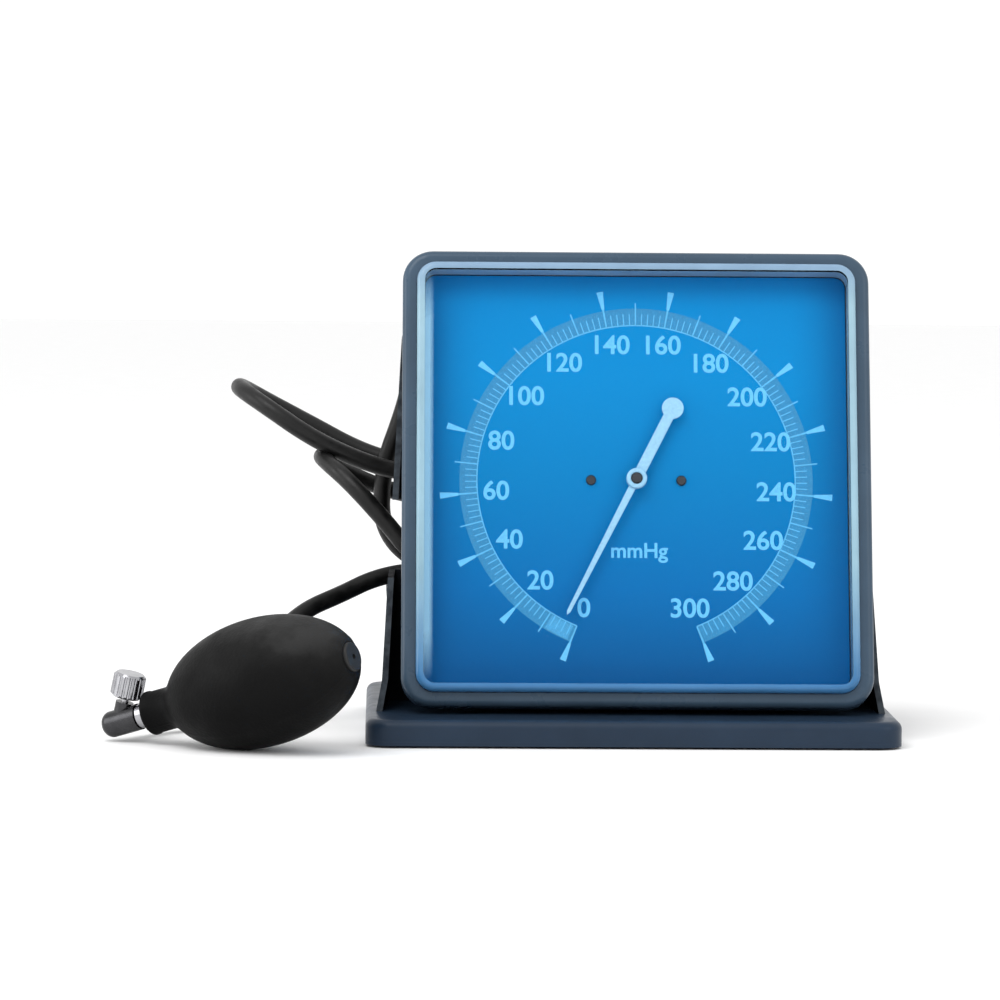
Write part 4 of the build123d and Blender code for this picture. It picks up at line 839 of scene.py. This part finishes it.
hub_ring = ring(
    "pointer_hub_ring",
    *HUB_RING_RADII,
    HUB_OUT - HUB_RING_BELOW,
    HUB_OUT + HUB_RING_ABOVE,
    finishes["pointer"].copy(),
)
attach(hub_ring, "pointer_set")

# Bulb: turned rubber form with a faint mould line on two sides and a lip round its neck
bulb_along = Vector(
    (
        -math.cos(BULB_RISE) * math.cos(BULB_YAW),
        math.cos(BULB_RISE) * math.sin(BULB_YAW),
        -math.sin(BULB_RISE),
    )
)
bulb_up = (Vector((0, 0, 1)) - bulb_along * bulb_along.z).normalized()
bulb_side = bulb_along.cross(bulb_up)
SHOULDER_SHARE = 0.86
SHOULDER_BLEND = 6.0 * MM
BULB_END_RADIUS = 6.2 * MM
BULB_END_CHAMFER = 0.4 * MM
BULB_END_HOLE = 4.25 * MM
NECK_HOLE = 4.0 * MM
NECK_CHAMFER = 0.3 * MM
NECK_LIP = 0.35 * MM
NECK_LIP_FOOT = 1.8 * MM
NECK_LIP_BACK = 1.4 * MM
NECK_LIP_FRONT = 0.5 * MM
MOULD_LINE = 0.18 * MM


def bulb_profile():
    """Distance along the axis and radius, from the free end to the neck's mouth."""
    first = math.pi - math.asin(BULB_END_RADIUS / BULB_RADIUS)
    last = math.acos(SHOULDER_SHARE)
    steps = 44
    free_end = BULB_HALF * math.cos(first)
    profile = [(free_end, BULB_END_HOLE), (free_end, BULB_END_RADIUS - BULB_END_CHAMFER)]
    for k in range(steps + 1):
        turn = first + (last - first) * k / steps
        profile.append((BULB_HALF * math.cos(turn), BULB_RADIUS * math.sin(turn)))
    shoulder_x, shoulder_r = profile[-1]
    slope = -BULB_RADIUS / BULB_HALF * math.cos(last) / math.sin(last)
    blend_steps = 8
    for k in range(1, blend_steps + 1):
        t = k / blend_steps
        radius = (2 * t**3 - 3 * t**2 + 1) * shoulder_r
        radius += (t**3 - 2 * t**2 + t) * slope * SHOULDER_BLEND
        radius += (3 * t**2 - 2 * t**3) * NECK_RADIUS
        profile.append((shoulder_x + SHOULDER_BLEND * t, radius))
    profile += [
        (NECK_END - NECK_LIP_FOOT, NECK_RADIUS),
        (NECK_END - NECK_LIP_BACK, NECK_RADIUS + NECK_LIP),
        (NECK_END - NECK_LIP_FRONT, NECK_RADIUS + NECK_LIP),
        (NECK_END, NECK_RADIUS - NECK_CHAMFER),
        (NECK_END, NECK_HOLE),
    ]
    return profile


def make_bulb(segments=144):
    """The bulb's skin, turned about its axis, in place of the CAD bulb."""
    profile = bulb_profile()
    points, faces = [], []
    for k in range(segments):
        turn = 2 * math.pi * k / segments
        seam = MOULD_LINE if k % (segments // 2) == segments // 8 else 0.0
        outward = bulb_up * math.cos(turn) + bulb_side * math.sin(turn)
        for x, r in profile:
            raised = seam if r > NECK_RADIUS * 0.9 else 0.0
            points.append(BULB_CENTRE + bulb_along * x + outward * (r + raised))
    count = len(profile)
    for k in range(segments):
        after = (k + 1) % segments
        for j in range(count - 1):
            here, there = k * count + j, after * count + j
            faces.append((here, here + 1, there + 1, there))
    made = new_object("bulb_skin", mesh_from("bulb_skin", points, faces), bulb_material)
    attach(made, "instrument")
    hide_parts("bulb")


make_bulb()

# Cuff: a flat sleeve rolled up in the basket, its edges bound with tape
CUFF_LEFT = -57.2 * MM
CUFF_WIDTH = 134.0 * MM
CUFF_MIDDLE_Y = 41.14 * MM
CUFF_MIDDLE_Z = 43.1 * MM
ROLL_HALF_HEIGHT = 30.0 * MM
ROLL_HALF_DEPTH = 19.0 * MM
SLEEVE_THICKNESS = 3.3 * MM
SLEEVE_PITCH = 3.9 * MM
SLEEVE_INSET = 0.3 * MM
SLEEVE_STATIONS = 22
ROLL_TURNS = 3.9
ROLL_STEPS = 230
ROLL_SQUARENESS = 2.2
WRINKLE = 0.25 * MM
WRINKLES_ALONG = 41
WRINKLES_ACROSS = 9
EDGE_PINCH = 0.55 * MM
PINCH_POWER = 0.25
BINDING_WIDTH = 9.0 * MM
BINDING_PAST_SLEEVE = 0.35 * MM
BINDING_INSET = 0.12 * MM
BINDING_STATIONS = 4
HOOK_TAPE_MARGIN = 22.0 * MM
HOOK_TAPE_THICKNESS = 1.0 * MM
HOOK_TAPE_INSET = -0.35 * MM
HOOK_TAPE_STATIONS = 10
HOOK_TAPE_TURNS = (0.02, 0.22)


def roll_point(turns, inset):
    """Y and Z on the spiral after this many turns inwards, this far under its outer skin."""
    shrink = SLEEVE_PITCH * turns + inset
    depth = ROLL_HALF_DEPTH - shrink
    straight = ROLL_HALF_HEIGHT - ROLL_HALF_DEPTH
    turn = 2 * math.pi * turns
    y = depth * math.cos(turn)
    side = max(-1.0, min(1.0, ROLL_SQUARENESS * math.sin(turn)))
    z = depth * math.sin(turn) + straight * side
    return y, z


def sleeve(name, ends, stations, thickness, inset, material, turns=(0.0, ROLL_TURNS)):
    """A strip of the rolled sleeve between two places along its width."""
    points, faces = [], []
    steps = max(8, int(ROLL_STEPS * (turns[1] - turns[0]) / ROLL_TURNS))
    for k in range(steps + 1):
        t = turns[0] + (turns[1] - turns[0]) * k / steps
        for j in range(stations + 1):
            share = j / stations
            x = ends[0] + (ends[1] - ends[0]) * share
            hump = math.sin(math.pi * share)
            wrinkle = WRINKLE * math.sin(WRINKLES_ALONG * t + WRINKLES_ACROSS * share) * hump
            pinch = EDGE_PINCH * (1 - hump**PINCH_POWER)
            for depth in (inset + pinch + wrinkle, inset + thickness - pinch + wrinkle):
                y, z = roll_point(t, depth)
                points.append((x, CUFF_MIDDLE_Y + y, CUFF_MIDDLE_Z + z))
    row = 2 * (stations + 1)
    for k in range(steps):
        for j in range(stations):
            a, b = k * row + 2 * j, (k + 1) * row + 2 * j
            faces.append((a, b, b + 2, a + 2))
            faces.append((a + 1, a + 3, b + 3, b + 1))
        for j in (0, 2 * stations):
            a, b = k * row + j, (k + 1) * row + j
            faces.append((a, a + 1, b + 1, b))
    for k in (0, steps):
        for j in range(stations):
            a = k * row + 2 * j
            faces.append((a, a + 2, a + 3, a + 1))
    made = new_object(name, mesh_from(name, points, faces), material)
    bm = bmesh.new()
    bm.from_mesh(made.data)
    bmesh.ops.recalc_face_normals(bm, faces=bm.faces)
    bm.to_mesh(made.data)
    bm.free()
    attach(made, "instrument")
    return made


cuff_right = CUFF_LEFT + CUFF_WIDTH
cuff_ends = (CUFF_LEFT, cuff_right)
cuff_roll = sleeve(
    "cuff_sleeve",
    cuff_ends,
    SLEEVE_STATIONS,
    SLEEVE_THICKNESS,
    SLEEVE_INSET,
    cuff_material,
)
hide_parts("cuff", "bladder")
binding_thickness = SLEEVE_THICKNESS + BINDING_PAST_SLEEVE
for side, left in (("left", CUFF_LEFT), ("right", cuff_right - BINDING_WIDTH)):
    binding = sleeve(
        f"cuff_binding_{side}",
        (left, left + BINDING_WIDTH),
        BINDING_STATIONS,
        binding_thickness,
        BINDING_INSET,
        binding_material,
    )
hook_tape = sleeve(
    "cuff_hook_tape",
    (CUFF_LEFT + HOOK_TAPE_MARGIN, cuff_right - HOOK_TAPE_MARGIN),
    HOOK_TAPE_STATIONS,
    HOOK_TAPE_THICKNESS,
    HOOK_TAPE_INSET,
    hook_material,
    HOOK_TAPE_TURNS,
)

# Floor and light
FLOOR_HALF = 6.0
STUDIO_WHITE = (1.0, 1.0, 1.0, 1.0)
STUDIO_STRENGTH = 1.08
LIGHT_AIM = Vector((0.0, 0.0, 0.08))

floor_sides = ((-1, -1), (1, -1), (1, 1), (-1, 1))
floor_corners = [(x * FLOOR_HALF, y * FLOOR_HALF, 0) for x, y in floor_sides]
floor_mesh = mesh_from("floor", floor_corners, [(0, 1, 2, 3)])
paper = moulded("floor_paper", PAPER, 0.8, grain=0.00001, grain_scale=400.0, cloud=0.01)
floor = new_object("floor", floor_mesh, paper.material, smooth=False)

world = bpy.data.worlds.new("studio")
scene.world = world
world.use_nodes = True
backdrop = world.node_tree.nodes["Background"]
backdrop.inputs["Color"].default_value = STUDIO_WHITE
backdrop.inputs["Strength"].default_value = STUDIO_STRENGTH


def softbox(name, place, size, power):
    """A square area light that faces the object."""
    data = bpy.data.lights.new(name, "AREA")
    data.shape = "SQUARE"
    data.size = size
    data.energy = power
    made = bpy.data.objects.new(name, data)
    scene.collection.objects.link(made)
    facing = (LIGHT_AIM - Vector(place)).to_track_quat("-Z", "Y")
    made.matrix_world = Matrix.Translation(place) @ facing.to_matrix().to_4x4()


softbox("key", (-0.6, -0.9, 1.5), 1.0, 14.0)
softbox("fill", (1.2, -1.0, 0.8), 1.0, 4.0)
softbox("side", (-1.5, -0.25, 0.45), 0.8, 6.0)
